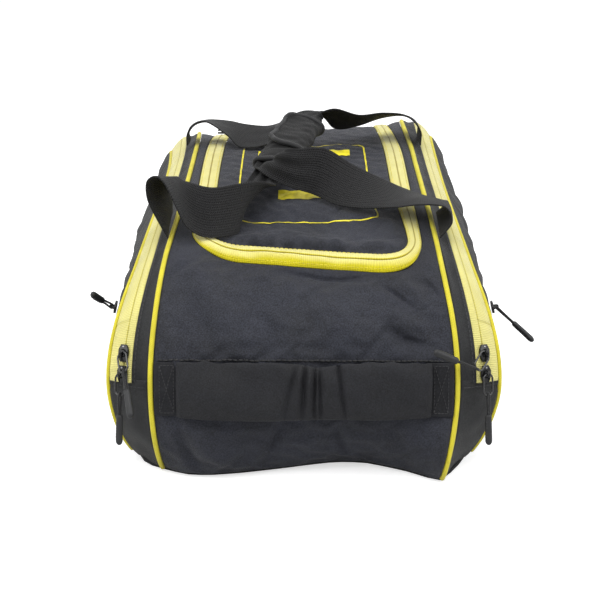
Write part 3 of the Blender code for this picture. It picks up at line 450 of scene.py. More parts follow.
def mesh_of(name, points, faces, uv=None):
    mesh = bpy.data.meshes.new(name)
    mesh.from_pydata(np.reshape(points, (-1, 3)).tolist(), [], faces)
    if uv is not None:
        set_uv(mesh, uv)
    mesh.shade_smooth()
    mesh.update()
    return mesh


def grid_faces(rows, columns, around=False):
    index = np.arange(rows * columns).reshape(rows, columns)
    if around:
        index = np.concatenate([index, index[:, :1]], 1)
    quads = np.stack([index[:-1, :-1], index[:-1, 1:], index[1:, 1:], index[1:, :-1]], -1)
    return quads.reshape(-1, 4)


def capped_faces(rows, sides, turned=False):
    """Faces of a row of rings with both ends closed."""
    faces = grid_faces(rows, sides, True)[:, ::-1].tolist()
    faces += [list(range(sides)), list(range((rows - 1) * sides, rows * sides))[::-1]]
    return [face[::-1] for face in faces] if turned else faces


def subdivide(made, levels=1):
    detail = made.modifiers.new("fine", "SUBSURF")
    detail.levels = detail.render_levels = levels


def thicken(made, thickness=PANEL_THICKNESS):
    solid = made.modifiers.new("thickness", "SOLIDIFY")
    solid.thickness = thickness
    solid.offset = -1


def cloth(name, points, uv, finish, thickness, outward, fine=0):
    """A sheet from a grid of points. Outward is a direction its front faces, roughly."""
    rows, columns = points.shape[:2]
    faces = grid_faces(rows, columns)
    corner = points.reshape(-1, 3)[faces]
    normal = np.cross(corner[:, 1] - corner[:, 0], corner[:, 3] - corner[:, 0])
    guide = np.broadcast_to(np.asarray(outward, float), points.shape).reshape(-1, 3)[faces[:, 0]]
    if (normal * guide).sum() < 0:
        faces = faces[:, ::-1]
    made = add_object(name, mesh_of(name, points, faces.tolist(), uv), finish)
    if thickness:
        thicken(made, thickness)
    if fine:
        subdivide(made, fine)
    return made


def apply_modifiers(made):
    bpy.context.view_layer.update()
    graph = bpy.context.evaluated_depsgraph_get()
    mesh = bpy.data.meshes.new_from_object(made.evaluated_get(graph))
    made.modifiers.clear()
    made.data = mesh
    return made


def frames_along(path, closed=False):
    """Tangents and two steady cross directions along a path of points."""
    path = np.asarray(path, float)
    ahead = unit(np.roll(path, -1, 0) - np.roll(path, 1, 0) if closed else np.gradient(path, axis=0))
    start = np.eye(3)[np.argmin(np.abs(ahead[0]))]
    across = []
    for tangent in ahead:
        start = start - tangent * (start @ tangent)
        start = start / np.linalg.norm(start)
        across.append(start)
    across = np.array(across)
    return ahead, across, np.cross(ahead, across)


def tube_parts(path, radii, sides, closed=False):
    """Points, faces and uv of a round tube along a path, with capped ends."""
    path = np.asarray(path, float)
    radii = np.broadcast_to(np.asarray(radii, float), len(path))
    _, across, up = frames_along(path, closed)
    turn = turns(sides)
    ring = across[:, None] * np.cos(turn)[None, :, None] + up[:, None] * np.sin(turn)[None, :, None]
    points = path[:, None] + ring * radii[:, None, None]
    uv = pair(run_along(path)[:, None], turn[None] * radii.mean())
    rows = len(path)
    if closed:
        last, first = (rows - 1) * sides + np.arange(sides), np.arange(sides)
        joined = np.stack([last, np.roll(last, -1), np.roll(first, -1), first], -1)
        faces = np.concatenate([grid_faces(rows, sides, True), joined])[:, ::-1].tolist()
    else:
        faces = capped_faces(rows, sides)
    return points, faces, uv


def parts_object(name, parts, finish):
    """One object from parts, each given as (points, faces, uv)."""
    faces, start = [], 0
    for points, part_faces, _ in parts:
        faces += [[start + i for i in face] for face in part_faces]
        start += points[..., 0].size
    points, uv = [np.concatenate([part[i].reshape(-1, part[i].shape[-1]) for part in parts]) for i in (0, 2)]
    mesh = mesh_of(name, points, faces, uv)
    mesh.set_sharp_from_angle(angle=math.radians(50))
    return add_object(name, mesh, finish)


def resample(path, step):
    """Points spaced evenly along a path."""
    path = np.asarray(path, float)
    run = run_along(path)
    count = max(int(round(run[-1] / step)), 2)
    spots = np.linspace(0, run[-1], count + 1)
    return np.stack([np.interp(spots, run, path[:, i]) for i in range(path.shape[1])], -1)


def rounded_outline(half_x, half_y, radius, steps):
    outline = []
    for sign_x, sign_y, start in ((1, 1, 0), (-1, 1, 90), (-1, -1, 180), (1, -1, 270)):
        for turn in np.radians(np.linspace(start, start + 90, steps)):
            outline.append((sign_x * (half_x - radius) + radius * math.cos(turn),
                            sign_y * (half_y - radius) + radius * math.sin(turn)))
    return np.array(outline)


def closed_up(path):
    return np.concatenate([path, path[:1]])


STITCH_SHAPE = ((-0.50, 0.30), (-0.36, 0.85), (0.0, 1.0), (0.36, 0.85), (0.50, 0.30))


def stitch_parts(path, pitch, length, radius):
    """Thread stitches lying along a path."""
    spots = resample(path, pitch)
    ahead, across, up = frames_along(spots)
    parts = []
    sides = 6
    turn = turns(sides)
    faces = capped_faces(len(STITCH_SHAPE), sides)
    middles = (spots[1:] + spots[:-1]) / 2
    for i, middle in enumerate(middles):
        rings = []
        for along, wide in STITCH_SHAPE:
            ring = across[i] * np.cos(turn)[:, None] + up[i] * np.sin(turn)[:, None]
            rings.append(middle + ahead[i] * along * length + ring * wide * radius)
        points = np.concatenate(rings)
        parts.append((points, faces, np.zeros((len(points), 2))))
    return parts


def sew(name, path, stitch, finish):
    return parts_object(name, stitch_parts(path, *stitch), finish)


def cord_along(name, path, radius, sides, finish, closed=False):
    return parts_object(name, [tube_parts(path, radius, sides, closed)], finish)


def stand_for(nodes):
    """Hides the CAD nodes that a piece takes the place of."""
    if nodes:
        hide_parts(*nodes)


def put(made, body, finish_slot, *nodes):
    """Lets a piece ride on a body, in place of CAD nodes."""
    stand_for(nodes)
    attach(made, body)
    return made


# Materials

def add(tree, kind, links=(), **values):
    node = tree.nodes.new(kind)
    for name, value in values.items():
        setattr(node, name, value)
    for socket, source in dict(links).items():
        if isinstance(source, bpy.types.NodeSocket):
            tree.links.new(source, node.inputs[socket])
        else:
            node.inputs[socket].default_value = source
    return node


def maths(tree, operation, first, second=0.0):
    return add(tree, "ShaderNodeMath", {0: first, 1: second}, operation=operation).outputs[0]


def total(tree, *terms):
    """Sum of values, each given with its weight."""
    parts = [value if weight == 1 else maths(tree, "MULTIPLY", value, weight) for value, weight in terms]
    while len(parts) > 1:
        parts[:2] = [maths(tree, "ADD", *parts[:2])]
    return parts[0]


def mix_colour(tree, factor, first, second):
    return add(tree, "ShaderNodeMix", {0: factor, 6: first, 7: second}, data_type="RGBA").outputs[2]


def ramp(tree, value, low, high, start=0.0, end=1.0):
    links = {0: value, 1: low, 2: high, 3: start, 4: end}
    return add(tree, "ShaderNodeMapRange", links, interpolation_type="SMOOTHSTEP").outputs[0]


def shaded(base, share):
    return (base[0] * share, base[1] * share, base[2] * share, 1.0)


class Finish:
    """A material being built, with the coordinates most of them need."""

    def __init__(self, name, roughness, sheen=0.0, specular=0.25, metallic=0.0, coat=0.0):
        self.material = bpy.data.materials.new(name)
        self.material.use_nodes = True
        self.tree = self.material.node_tree
        self.shader = self.tree.nodes["Principled BSDF"]
        self.set("Roughness", roughness)
        self.set("Sheen Weight", sheen)
        self.set("Sheen Roughness", 0.45)
        self.set("Specular IOR Level", specular)
        self.set("Metallic", metallic)
        self.set("Coat Weight", coat)
        coordinates = self.tree.nodes.new("ShaderNodeTexCoord")
        self.place = coordinates.outputs["Object"]
        parts = add(self.tree, "ShaderNodeSeparateXYZ", {0: coordinates.outputs["UV"]})
        self.u, self.v = parts.outputs[0], parts.outputs[1]
        self.upward = add(self.tree, "ShaderNodeSeparateXYZ", {0: coordinates.outputs["Normal"]}).outputs[2]

    def set(self, socket, value):
        if isinstance(value, bpy.types.NodeSocket):
            self.tree.links.new(value, self.shader.inputs[socket])
        else:
            self.shader.inputs[socket].default_value = value

    def noise(self, size, detail=3.0):
        links = {"Vector": self.place, "Scale": 1 / size, "Detail": detail, "Roughness": 0.55}
        return add(self.tree, "ShaderNodeTexNoise", links).outputs[0]

    def wave(self, source, pitch):
        return maths(self.tree, "SINE", maths(self.tree, "MULTIPLY", source, 2 * math.pi / pitch))

    def tint(self, tone, low, high, base, dark, bright):
        """Colours from dark to bright shades of the base, as the tone goes from low to high."""
        share = ramp(self.tree, tone, low, high)
        self.set("Base Color", mix_colour(self.tree, share, shaded(base, dark), shaded(base, bright)))

    def bump(self, height, distance):
        links = {"Height": height, "Distance": distance, "Strength": 1.0}
        self.set("Normal", add(self.tree, "ShaderNodeBump", links).outputs[0])


def woven(name, base, pitch, bump, roughness, sheen, uneven=0.35):
    """Plain-woven cloth: crossing threads, slight heathering and dusty patches."""
    made = Finish(name, roughness, sheen)
    tree = made.tree
    threads = maths(tree, "MULTIPLY", made.wave(made.u, pitch), made.wave(made.v, pitch))
    speck = made.noise(0.0012, 2.0)
    patch = made.noise(0.045, 4.0)
    tone = total(tree, (speck, 0.7), (patch, 0.3), (threads, 0.10))
    made.tint(tone, 0.3, 0.72, base, 1 - uneven, 1 + uneven)
    made.set("Roughness", ramp(tree, patch, 0.3, 0.7, roughness - 0.06, roughness + 0.08))
    made.bump(total(tree, (threads, 0.5), (speck, 1)), bump)
    return made.material


def zip_tape(name, base, painted_highlight, line):
    """Ribbed zip tape with a painted highlight: its colour turns to the paler highlight colour where it faces
    up; v runs out from the zip, whose coil shows as a fine line.
    """
    made = Finish(name, 0.5, 0.5)
    made.set("Sheen Roughness", 0.3)
    tree = made.tree
    # Painted highlight: the colour blends from the base to the pale highlight colour on faces that point up
    share = ramp(tree, made.upward, 0.55, 0.95)
    low = mix_colour(tree, share, shaded(base, 0.82), shaded(painted_highlight, 0.88))
    high = mix_colour(tree, share, shaded(base, 1.08), shaded(painted_highlight, 1.05))
    away = maths(tree, "ABSOLUTE", made.v)
    coil = ramp(tree, away, 0.0004, 0.0011)
    ribs = made.wave(made.u, 0.0019)
    cords = made.wave(made.v, 0.0011)
    patch = made.noise(0.03)
    tone = total(tree, (ribs, 0.16), (cords, 0.06), (patch, 1), (made.noise(0.002), 0.3))
    cloth_colour = mix_colour(tree, ramp(tree, tone, 0.3, 1.0), low, high)
    teeth = mix_colour(tree, ramp(tree, ribs, -0.3, 0.5), shaded(line, 0.7), shaded(line, 1.0))
    made.set("Base Color", mix_colour(tree, coil, teeth, cloth_colour))
    made.bump(total(tree, (ribs, 1), (cords, 0.4)), 0.00018)
    return made.material


def ribbed_webbing(name, base):
    """Webbing: short ribs across it, stepped from one warp cord to the next."""
    made = Finish(name, 0.60, 0.05)
    tree = made.tree
    ribs = made.wave(total(tree, (made.u, 1), (made.wave(made.v, 0.0050), 0.0004)), 0.0017)
    warp = made.wave(made.v, 0.0025)
    patch = made.noise(0.03)
    made.tint(total(tree, (ribs, 0.22), (warp, 0.08), (patch, 1)), 0.25, 0.95, base, 0.35, 1.7)
    made.set("Roughness", ramp(tree, patch, 0.3, 0.7, 0.55, 0.70))
    made.bump(total(tree, (ribs, 1), (warp, 0.5)), 0.00045)
    return made.material


def moulded(name, base, roughness, grain, depth, specular=0.5, metallic=0.0, coat=0.0):
    """Moulded, painted or metal surface with a fine grain and worn, slightly paler patches."""
    made = Finish(name, roughness, 0.0, specular, metallic, coat)
    fine, patch = made.noise(grain), made.noise(0.012, 4.0)
    made.tint(patch, 0.35, 0.75, base, 0.8, 1.3)
    made.set("Roughness", ramp(made.tree, patch, 0.3, 0.7, roughness - 0.08, roughness + 0.10))
    made.bump(fine, depth)
    return made.material


def corded(name, base, roughness):
    """Piping and cord: a woven sleeve round a filler, with its threads wound on the slant."""
    made = Finish(name, roughness, 0.15)
    tree = made.tree
    threads = made.wave(total(tree, (made.u, 1), (made.v, 0.5)), 0.0016)
    made.tint(total(tree, (threads, 0.15), (made.noise(0.02), 1)), 0.3, 0.9, base, 0.8, 1.1)
    made.bump(threads, 0.00012)
    return made.material


WHITE, BLACK = (1.0, 1.0, 1.0), (0.0190, 0.0205, 0.0285)
DARK_TAPE = (0.024, 0.024, 0.027)
# The pale yellow is a painted highlight, for tape lit from above
YELLOW, PAINTED_HIGHLIGHT_YELLOW = (0.600, 0.520, 0.005), (0.760, 0.700, 0.240)
panel_finish = woven("black_polyester_weave", BLACK, 0.0013, 0.00030, 0.62, 0.08, 0.75)
side_finish = woven("black_side_polyester_weave", (0.016, 0.0165, 0.0175), 0.0013, 0.00022, 0.62, 0.08, 0.55)
grip_finish = woven("black_padded_weave", (0.0088, 0.0091, 0.0116), 0.0011, 0.00036, 0.60, 0.05, 0.8)
base_finish = woven("black_base_weave", (0.012, 0.012, 0.013), 0.0018, 0.00035, 0.75, 0.05)
lining_finish = woven("grey_lining_weave", (0.060, 0.060, 0.066), 0.0010, 0.00012, 0.70, 0.2)
wrap_finish = woven("black_brushed_wrap", (0.0080, 0.0080, 0.0083), 0.0009, 0.00030, 0.80, 0.08, 0.6)
# The sleeve is the same cloth as the tongue, painted darker as shade
shaded_sleeve_finish = woven("black_wrap_sleeve_painted_shade", (0.0050, 0.0050, 0.0052), 0.0011, 0.00025, 0.75, 0.05, 0.5)
binding_finish = corded("black_wrap_binding", (0.0170, 0.0170, 0.0180), 0.6)
tape_finish = zip_tape("yellow_zip_tape_weave", YELLOW, PAINTED_HIGHLIGHT_YELLOW, (0.42, 0.33, 0.010))
# The arch strips' tape is the same yellow tape, painted pale all over as a highlight
arch_tape_finish = zip_tape("painted_highlight_yellow_zip_tape_weave", PAINTED_HIGHLIGHT_YELLOW, PAINTED_HIGHLIGHT_YELLOW, (0.60, 0.52, 0.080))
dark_tape_finish = zip_tape("black_zip_tape_weave", DARK_TAPE, DARK_TAPE, (0.006, 0.006, 0.007))
piping_finish = corded("yellow_piping_sleeve", (0.72, 0.63, 0.035), 0.5)
webbing_finish = ribbed_webbing("black_ribbed_webbing", (0.0085, 0.0085, 0.0092))
thread_finish = moulded("black_thread", (0.030, 0.030, 0.033), 0.6, 0.0004, 0.0001)
# Nearly black thread: the grip's seam, which also paints the shadow in the gap above the front grip
thread_and_shadow_finish = moulded("dark_seam_thread_and_painted_shadow", (0.004, 0.004, 0.005), 0.6, 0.0004, 0.0001)
yellow_thread_finish = moulded("yellow_thread", (0.72, 0.60, 0.04), 0.55, 0.0004, 0.0001)
slider_finish = moulded("black_gloss_slider", (0.0035, 0.0035, 0.004), 0.24, 0.0015, 0.00004, 0.3, 0.0, 0.1)
rivet_finish = moulded("bright_rivet", (0.30, 0.30, 0.31), 0.30, 0.0008, 0.00002, 0.5, 1.0)
wire_finish = moulded("dark_wire_plating", (0.008, 0.008, 0.009), 0.20, 0.0008, 0.00002, 0.5, 0.0, 0.2)
rubber_finish = moulded("dark_rubber", (0.0125, 0.0130, 0.0140), 0.5, 0.0005, 0.00006, 0.35)
cord_finish = corded("black_pull_cord", (0.018, 0.018, 0.019), 0.7)
print_finish = moulded("yellow_lid_print", (0.72, 0.62, 0.020), 0.5, 0.0012, 0.00012)
board_finish = moulded("grey_board", (0.10, 0.10, 0.10), 0.6, 0.0012, 0.0001)
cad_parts["base_board"].data.materials.clear()
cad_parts["base_board"].data.materials.append(board_finish)


LOOSE, SLACK, SETTLE_FRAMES = 0.2, 0.015, 26


def settle(made, held):
    """Lets a sheet with a little slack buckle into soft wrinkles. Held runs from 0 (free) to 1 (sewn)."""
    group = made.vertex_groups.new(name="held")
    held = np.array(np.broadcast_to(held, len(made.data.vertices)), float)
    held[border_spots(made.data)] = 1.0
    for level in np.unique(np.round(held, 2)):
        group.add(np.flatnonzero(np.round(held, 2) == level).tolist(), float(level), "REPLACE")
    wrinkle = made.modifiers.new("wrinkle", "CLOTH")
    cloth_settings = wrinkle.settings
    cloth_settings.quality = 6
    cloth_settings.mass = 0.15
    cloth_settings.tension_stiffness = cloth_settings.compression_stiffness = 25
    cloth_settings.shear_stiffness = 12
    cloth_settings.bending_stiffness = 8
    cloth_settings.air_damping = 3
    cloth_settings.vertex_group_mass = "held"
    cloth_settings.pin_stiffness = 1.0
    cloth_settings.shrink_min = -SLACK
    cloth_settings.effector_weights.gravity = 0.3
    wrinkle.point_cache.frame_start, wrinkle.point_cache.frame_end = 1, SETTLE_FRAMES
    for number in range(1, SETTLE_FRAMES + 1):
        scene.frame_set(number)
    apply_modifiers(made)
    scene.frame_set(1)


def mesh_points(mesh):
    points = np.empty(3 * len(mesh.vertices), np.float32)
    mesh.vertices.foreach_get("co", points)
    return points.reshape(-1, 3).astype(float)


def refine(made, relief):
    """Makes a sheet's mesh finer and adds sharp creases, given over its uv."""
    subdivide(made)
    mesh = apply_modifiers(made).data
    uv = np.empty(2 * len(mesh.loops), np.float32)
    mesh.uv_layers[0].data.foreach_get("uv", uv)
    place = np.zeros((len(mesh.vertices), 2))
    place[corner_spots(mesh)] = uv.reshape(-1, 2)
    normals = np.empty(3 * len(mesh.vertices), np.float32)
    mesh.vertex_normals.foreach_get("vector", normals)
    moved = mesh_points(mesh) + normals.reshape(-1, 3) * relief(place[:, 0], place[:, 1])[:, None]
    mesh.vertices.foreach_set("co", moved.astype(np.float32).ravel())
    mesh.update()


def border_spots(mesh):
    """Vertices along the open edges of a mesh."""
    bm = bmesh.new()
    bm.from_mesh(mesh)
    spots = sorted({vert.index for edge in bm.edges if edge.is_boundary for vert in edge.verts})
    bm.free()
    return spots


def snap(points, outward, made, lift):
    """Moves points onto a piece along a direction, and a little above it."""
    bpy.context.view_layer.update()
    tree = BVHTree.FromObject(made, bpy.context.evaluated_depsgraph_get())
    outward = np.broadcast_to(outward, points.shape)
    found = points.reshape(-1, 3).copy()
    for i, (point, way) in enumerate(zip(found, outward.reshape(-1, 3))):
        way = Vector(way).normalized()
        hit = tree.ray_cast(Vector(point) + way * 0.03, -way, 0.06)[0]
        if hit is not None:
            found[i] = hit + way * lift
    return found.reshape(points.shape)


def on_piece(arc, x, made, lift):
    """Points of the centre band, moved onto a piece."""
    even = skin(arc, x)
    return snap(even, skin(arc, x, 0.01) - even, made, lift)


# Centre band

def lid_path():
    """The lid's zip from its rear left end round the front to its rear right end.

    Columns: x, arc, outward x, outward arc, half width of the band, distance along.
    """
    corner_arc = LID_CORNER_RADIUS - LID_FRONT_REACH
    rear = LID_REAR_REACH - SEAM
    rows = []
    count = int((rear - corner_arc) / LID_PATH_STEP)
    for arc in np.linspace(rear, corner_arc, count, endpoint=False):
        rows.append((LID_ZIP_HALF_WIDTH, arc, 1.0, 0.0, LID_TAPE_AT_SIDE))
    for turn in np.linspace(0, math.pi / 2, 28, endpoint=False):
        half = LID_TAPE_AT_SIDE + (LID_TAPE_AT_FRONT - LID_TAPE_AT_SIDE) * smoothstep(turn, 0, math.pi / 2)
        x = LID_CORNER_X + LID_CORNER_RADIUS * math.cos(turn)
        arc = corner_arc - LID_CORNER_RADIUS * math.sin(turn)
        rows.append((x, arc, math.cos(turn), -math.sin(turn), half))
    for x in np.linspace(LID_CORNER_X, 0, 20):
        rows.append((x, -LID_FRONT_REACH, 0.0, -1.0, LID_TAPE_AT_FRONT))
    right = np.array(rows)
    left = right[:-1] * (-1, 1, -1, 1, 1)
    path = np.concatenate([left, right[::-1]])
    return np.column_stack([path, run_along(path[:, :2])])


LID_PATH = lid_path()
BAND_SHARES = np.array([0.0, 0.03, 0.07, 0.13, 0.22, 0.34, 0.47, 0.60, 0.72, 0.83, 0.92, 0.97, 1.0])
GROOVE_WIDTH, GROOVE_DEPTH = 0.0007, 0.0013
LID_BAND_LOW, LID_BAND_RISE = 0.0018, 0.0040


def band_lift(share, half, height, groove=1.0):
    """How high the padded zip band stands over the skin, this share of the way out from the zip."""
    groove = groove * GROOVE_DEPTH * bell(share * half, GROOVE_WIDTH)
    return height * np.maximum(1 - share**2, 0) ** 0.6 - groove - 0.0004 * share**8


def lid_frontness(half):
    """0 along the lid's sides, 1 along its front, from the half width of its zip band."""
    return (half - LID_TAPE_AT_SIDE) / (LID_TAPE_AT_FRONT - LID_TAPE_AT_SIDE)


def lid_band(name, path, sign, finish):
    """Half of the lid's zip band, on the outer (1) or inner (-1) side of the zip."""
    x, arc, out_x, out_arc, half, run = path.T[:, :, None]
    share = BAND_SHARES[None]
    offset = sign * share * half
    frontness = lid_frontness(half)
    lift = band_lift(share, half, LID_BAND_LOW + LID_BAND_RISE * frontness, 0.3 + 0.7 * frontness)
    lift = lift + (0.0004 + 0.0006 * frontness) * waves(run, offset, 0.030, 5) * (1 - share**2)
    points = skin(arc + out_arc * offset, x + out_x * offset, lift)
    guide = skin(arc, x, 0.02) - skin(arc, x)
    return cloth(name, points, pair(run, offset), finish, BAND_THICKNESS, guide)


def lid_edge(sign, extra):
    """Edge of the lid's zip band on one side of the zip, right half, from the rear to the front middle."""
    path = LID_PATH[len(LID_PATH) // 2:][::-1]
    offset = sign * (path[:, 4] + extra)
    return path[:, 0] + path[:, 2] * offset, path[:, 1] + path[:, 3] * offset


FRONT_FOLDS = (
    (((0.0600, -0.2550), (0.0803, -0.2700), (0.1000, -0.2860)), 0.0070, -0.0026),
    (((0.0780, -0.2500), (0.0980, -0.2640), (0.1120, -0.2820)), 0.0075, 0.0030),
    (((0.0700, -0.2990), (0.0887, -0.3131), (0.1120, -0.3210)), 0.0075, -0.0042),
    (((0.0750, -0.2880), (0.0980, -0.2990), (0.1180, -0.3060)), 0.0080, 0.0030),
    (((0.1040, -0.2470), (0.1140, -0.2560), (0.1200, -0.2700)), 0.0045, -0.0024),
    (((-0.1080, -0.2500), (-0.0800, -0.2850), (-0.0400, -0.3338)), 0.0200, 0.0068),
    (((-0.0500, -0.2600), (-0.0450, -0.2950), (-0.0200, -0.3300)), 0.0180, -0.0045),
    (((-0.1120, -0.2600), (-0.1000, -0.2900), (-0.0800, -0.3250)), 0.0080, -0.0035),
    (((0.0100, -0.2700), (0.0300, -0.3000), (0.0600, -0.3250)), 0.0220, 0.0055),
    (((-0.1250, -0.3000), (-0.1150, -0.3300), (-0.1120, -0.3500)), 0.0060, 0.0036),
    (((-0.1150, -0.3950), (-0.1100, -0.4150), (-0.0950, -0.4450)), 0.0060, -0.0045),
    (((-0.1000, -0.3950), (-0.0900, -0.4150), (-0.0700, -0.4400)), 0.0100, 0.0035),
    (((-0.0190, -0.3900), (-0.0250, -0.4050), (-0.0320, -0.4250)), 0.0060, -0.0030),
    (((0.0270, -0.3950), (0.0340, -0.4150), (0.0390, -0.4400)), 0.0060, -0.0032),
    (((0.0750, -0.3950), (0.0850, -0.4100), (0.0950, -0.4220)), 0.0060, -0.0035),
    (((-0.0350, -0.2540), (0.0094, -0.2565), (0.0338, -0.2570), (0.0650, -0.2540)), 0.0045, -0.0030),
)
# Sharper lines in the same cloth
FRONT_CREASES = (
    (((0.0640, -0.2580), (0.0803, -0.2686), (0.0980, -0.2815)), 0.0014, -0.0020),
    (((0.0600, -0.2625), (0.0770, -0.2730), (0.0930, -0.2850)), 0.0030, 0.0014),
    (((0.0960, -0.2800), (0.1003, -0.2862), (0.0955, -0.2933)), 0.0018, -0.0014),
    (((0.0770, -0.3020), (0.0887, -0.3131), (0.1080, -0.3200)), 0.0028, -0.0018),
    (((0.0900, -0.3060), (0.1010, -0.3110), (0.1120, -0.3150)), 0.0028, 0.0012),
    (((-0.0220, -0.2515), (0.0094, -0.2553), (0.0338, -0.2564), (0.0563, -0.2515)), 0.0017, -0.0024),
    (((-0.0200, -0.3920), (-0.0286, -0.4177), (-0.0330, -0.4300)), 0.0022, -0.0012),
    (((0.0270, -0.3940), (0.0330, -0.4150), (0.0390, -0.4400)), 0.0022, -0.0014),
    (((0.1120, -0.2520), (0.1192, -0.2586), (0.1260, -0.2740)), 0.0018, -0.0012),
)
# The front's folds fade out along the rails beside the lid, and end this far from the crown
RAIL_SMOOTH, RAIL_COLUMNS = 0.19, 25


def front_relief(arc, x):
    """How far the front's cloth stands in or out of its even shape."""
    edge = smoothstep(band_half(profile(arc)[1]) - PIPING_SEAM - np.abs(x), 0.0, 0.012)
    hem = smoothstep(arc, -FLOOR_ARC, -FLOOR_ARC + 0.02)
    relief = rippled(folds(x, arc, FRONT_FOLDS), x, arc, (0.0011, 0.055, 11), (0.0004, 0.016, 12))
    return relief * edge * hem


def make_front():
    """The front panel with the two rails beside the lid, cut as one cloth."""
    top = -(LID_FRONT_REACH + LID_TAPE_AT_FRONT + SEAM)
    arcs = np.linspace(-HEM_ARC, top, 84)
    corner = LID_CORNER_X / (band_half(profile(top)[1]) - PIPING_SEAM)
    outer = np.linspace(corner, 1, RAIL_COLUMNS)
    spread = np.concatenate([-outer[::-1], np.linspace(-corner, corner, 41)[1:-1], outer])
    arc = arcs[:, None]
    x = spread[None] * (band_half(profile(arc)[1]) - PIPING_SEAM)
    flat_uv = pair(x, arc)
    draft = skin(arc, x, front_relief(arc, x))
    made = cloth("front_panel_draft", draft, flat_uv, panel_finish, 0, (0, -1, 0))
    settle(made, LOOSE)
    points = [mesh_points(made.data)]
    bpy.data.objects.remove(made)
    uv = [flat_uv.reshape(-1, 2)]
    faces = [grid_faces(*x.shape)]
    start = x.size
    edge_x, edge_arc = lid_edge(1, SEAM)
    keep = edge_x >= LID_CORNER_X - 1e-6
    edge_x, edge_arc = edge_x[keep], edge_arc[keep]
    for side, _ in SIDES:
        arc = np.broadcast_to(edge_arc[:, None], (len(edge_arc), RAIL_COLUMNS))
        far = band_half(profile(edge_arc)[1]) - PIPING_SEAM
        share = row(0, 1, RAIL_COLUMNS)
        x = side * (edge_x[:, None] + (far - edge_x)[:, None] * share)
        swell = 0.0012 * np.sin(math.pi * share) * smoothstep(arc, top, -RAIL_SMOOTH)
        relief = front_relief(arc, x) * smoothstep(-arc, RAIL_SMOOTH, -top) + swell
        points.append(skin(arc, x, relief).reshape(-1, 3))
        uv.append(pair(x, arc).reshape(-1, 2))
        rail = grid_faces(*arc.shape) + start
        faces.append(rail[:, ::-1] if side > 0 else rail)
        start += arc.size
    mesh = mesh_of("front_cloth", np.concatenate(points), np.concatenate(faces).tolist(), np.concatenate(uv))
    bm = bmesh.new()
    bm.from_mesh(mesh)
    bmesh.ops.remove_doubles(bm, verts=bm.verts[:], dist=2e-5)
    bmesh.ops.recalc_face_normals(bm, faces=bm.faces[:])
    lowest = min(bm.faces, key=lambda face: face.calc_center_median().y)
    if lowest.normal.y > 0:
        bmesh.ops.reverse_faces(bm, faces=bm.faces[:])
    bm.to_mesh(mesh)
    bm.free()
    mesh.shade_smooth()
    made = add_object("front_cloth", mesh, panel_finish)
    refine(made, lambda x, arc: folds(x, arc, FRONT_CREASES) * smoothstep(-arc, RAIL_SMOOTH, -top))
    thicken(made)
    put(made, "bag", "black_polyester", "front_end_panel", "left_lid_rail", "right_lid_rail")
    return made


REAR_FOLDS = (
    (((-0.100, 0.275), (-0.070, 0.300), (-0.030, 0.325)), 0.010, -0.0040),
    (((0.110, 0.280), (0.080, 0.305), (0.060, 0.330)), 0.007, -0.0045),
    (((0.000, 0.270), (0.020, 0.300), (0.015, 0.335)), 0.016, 0.0045),
    (((-0.115, 0.400), (-0.080, 0.425), (-0.060, 0.440)), 0.008, -0.0030),
    (((0.060, 0.400), (0.085, 0.420), (0.110, 0.432)), 0.008, -0.0030),
)


def make_rear():
    arc = column(LID_REAR_REACH + SEAM, HEM_ARC, 70)
    half = band_half(profile(arc)[1]) - PIPING_SEAM
    x = row(-1, 1, 88) * half
    edge = smoothstep(half - np.abs(x), 0, 0.012) * smoothstep(arc, LID_REAR_REACH, LID_REAR_REACH + 0.012)
    edge = edge * smoothstep(FLOOR_ARC - arc, 0, 0.015)
    relief = rippled(folds(x, arc, REAR_FOLDS), x, arc, (0.0014, 0.055, 21), (0.0004, 0.016, 22))
    uv = pair(x, arc)
    made = cloth("rear_cloth", skin(arc, x, relief * edge), uv, panel_finish, 0, (0, 1, 0.5))
    settle(made, LOOSE)
    thicken(made)
    put(made, "bag", "black_polyester", "rear_end_panel")


LID_FOLDS = (
    (((-0.070, -0.205), (-0.020, -0.198), (0.045, -0.203)), 0.010, 0.0035),
    (((-0.060, -0.222), (-0.010, -0.219), (0.050, -0.223)), 0.005, -0.0030),
    (((-0.080, -0.150), (-0.040, -0.165), (0.010, -0.160)), 0.014, -0.0025),
    (((0.030, -0.150), (0.070, -0.170), (0.082, -0.195)), 0.012, 0.0025),
    (((-0.060, 0.020), (-0.010, 0.060), (0.040, 0.080)), 0.020, -0.0030),
    (((0.070, 0.120), (0.020, 0.150), (-0.040, 0.150)), 0.016, 0.0025),
)


def lid_relief(arc, x, half):
    edge = smoothstep(half - np.abs(x), 0, 0.014)
    front = LID_TAPE_AT_FRONT + SEAM - LID_FRONT_REACH
    ends = smoothstep(arc, front, front + 0.010) * smoothstep(LID_REAR_REACH - arc, 0, 0.015)
    relief = rippled(folds(x, arc, LID_FOLDS), x, arc, (0.0012, 0.060, 31), (0.0003, 0.016, 32))
    near = smoothstep(arc, front, front + 0.006) * (1 - smoothstep(arc, front + 0.008, front + 0.026))
    pucker = near * rippled(rippled(0.0022, x, 0 * arc, (0.0016, 0.030, 33)), x, arc, (0.0008, 0.012, 34))
    dips = np.clip(0.55 + 0.6 * waves(x, 0 * arc, 0.022, 35), 0, 1.2)
    dips = dips * smoothstep(half - np.abs(x), 0, 0.03)
    groove = 0.0065 * dips * bell(arc - front - 0.0045, 0.0036)
    swell = 0.0030 * dips * bell(arc - front - 0.0150, 0.0055)
    return relief * edge * ends + pucker * edge - groove + swell


def lid_half(arc):
    """Half width of the lid's panel at this arc."""
    edge_x, edge_arc = lid_edge(-1, SEAM)
    inner = edge_x > LID_CORNER_X - 1e-6
    order = np.argsort(edge_arc[inner])
    return np.interp(arc, edge_arc[inner][order], edge_x[inner][order])


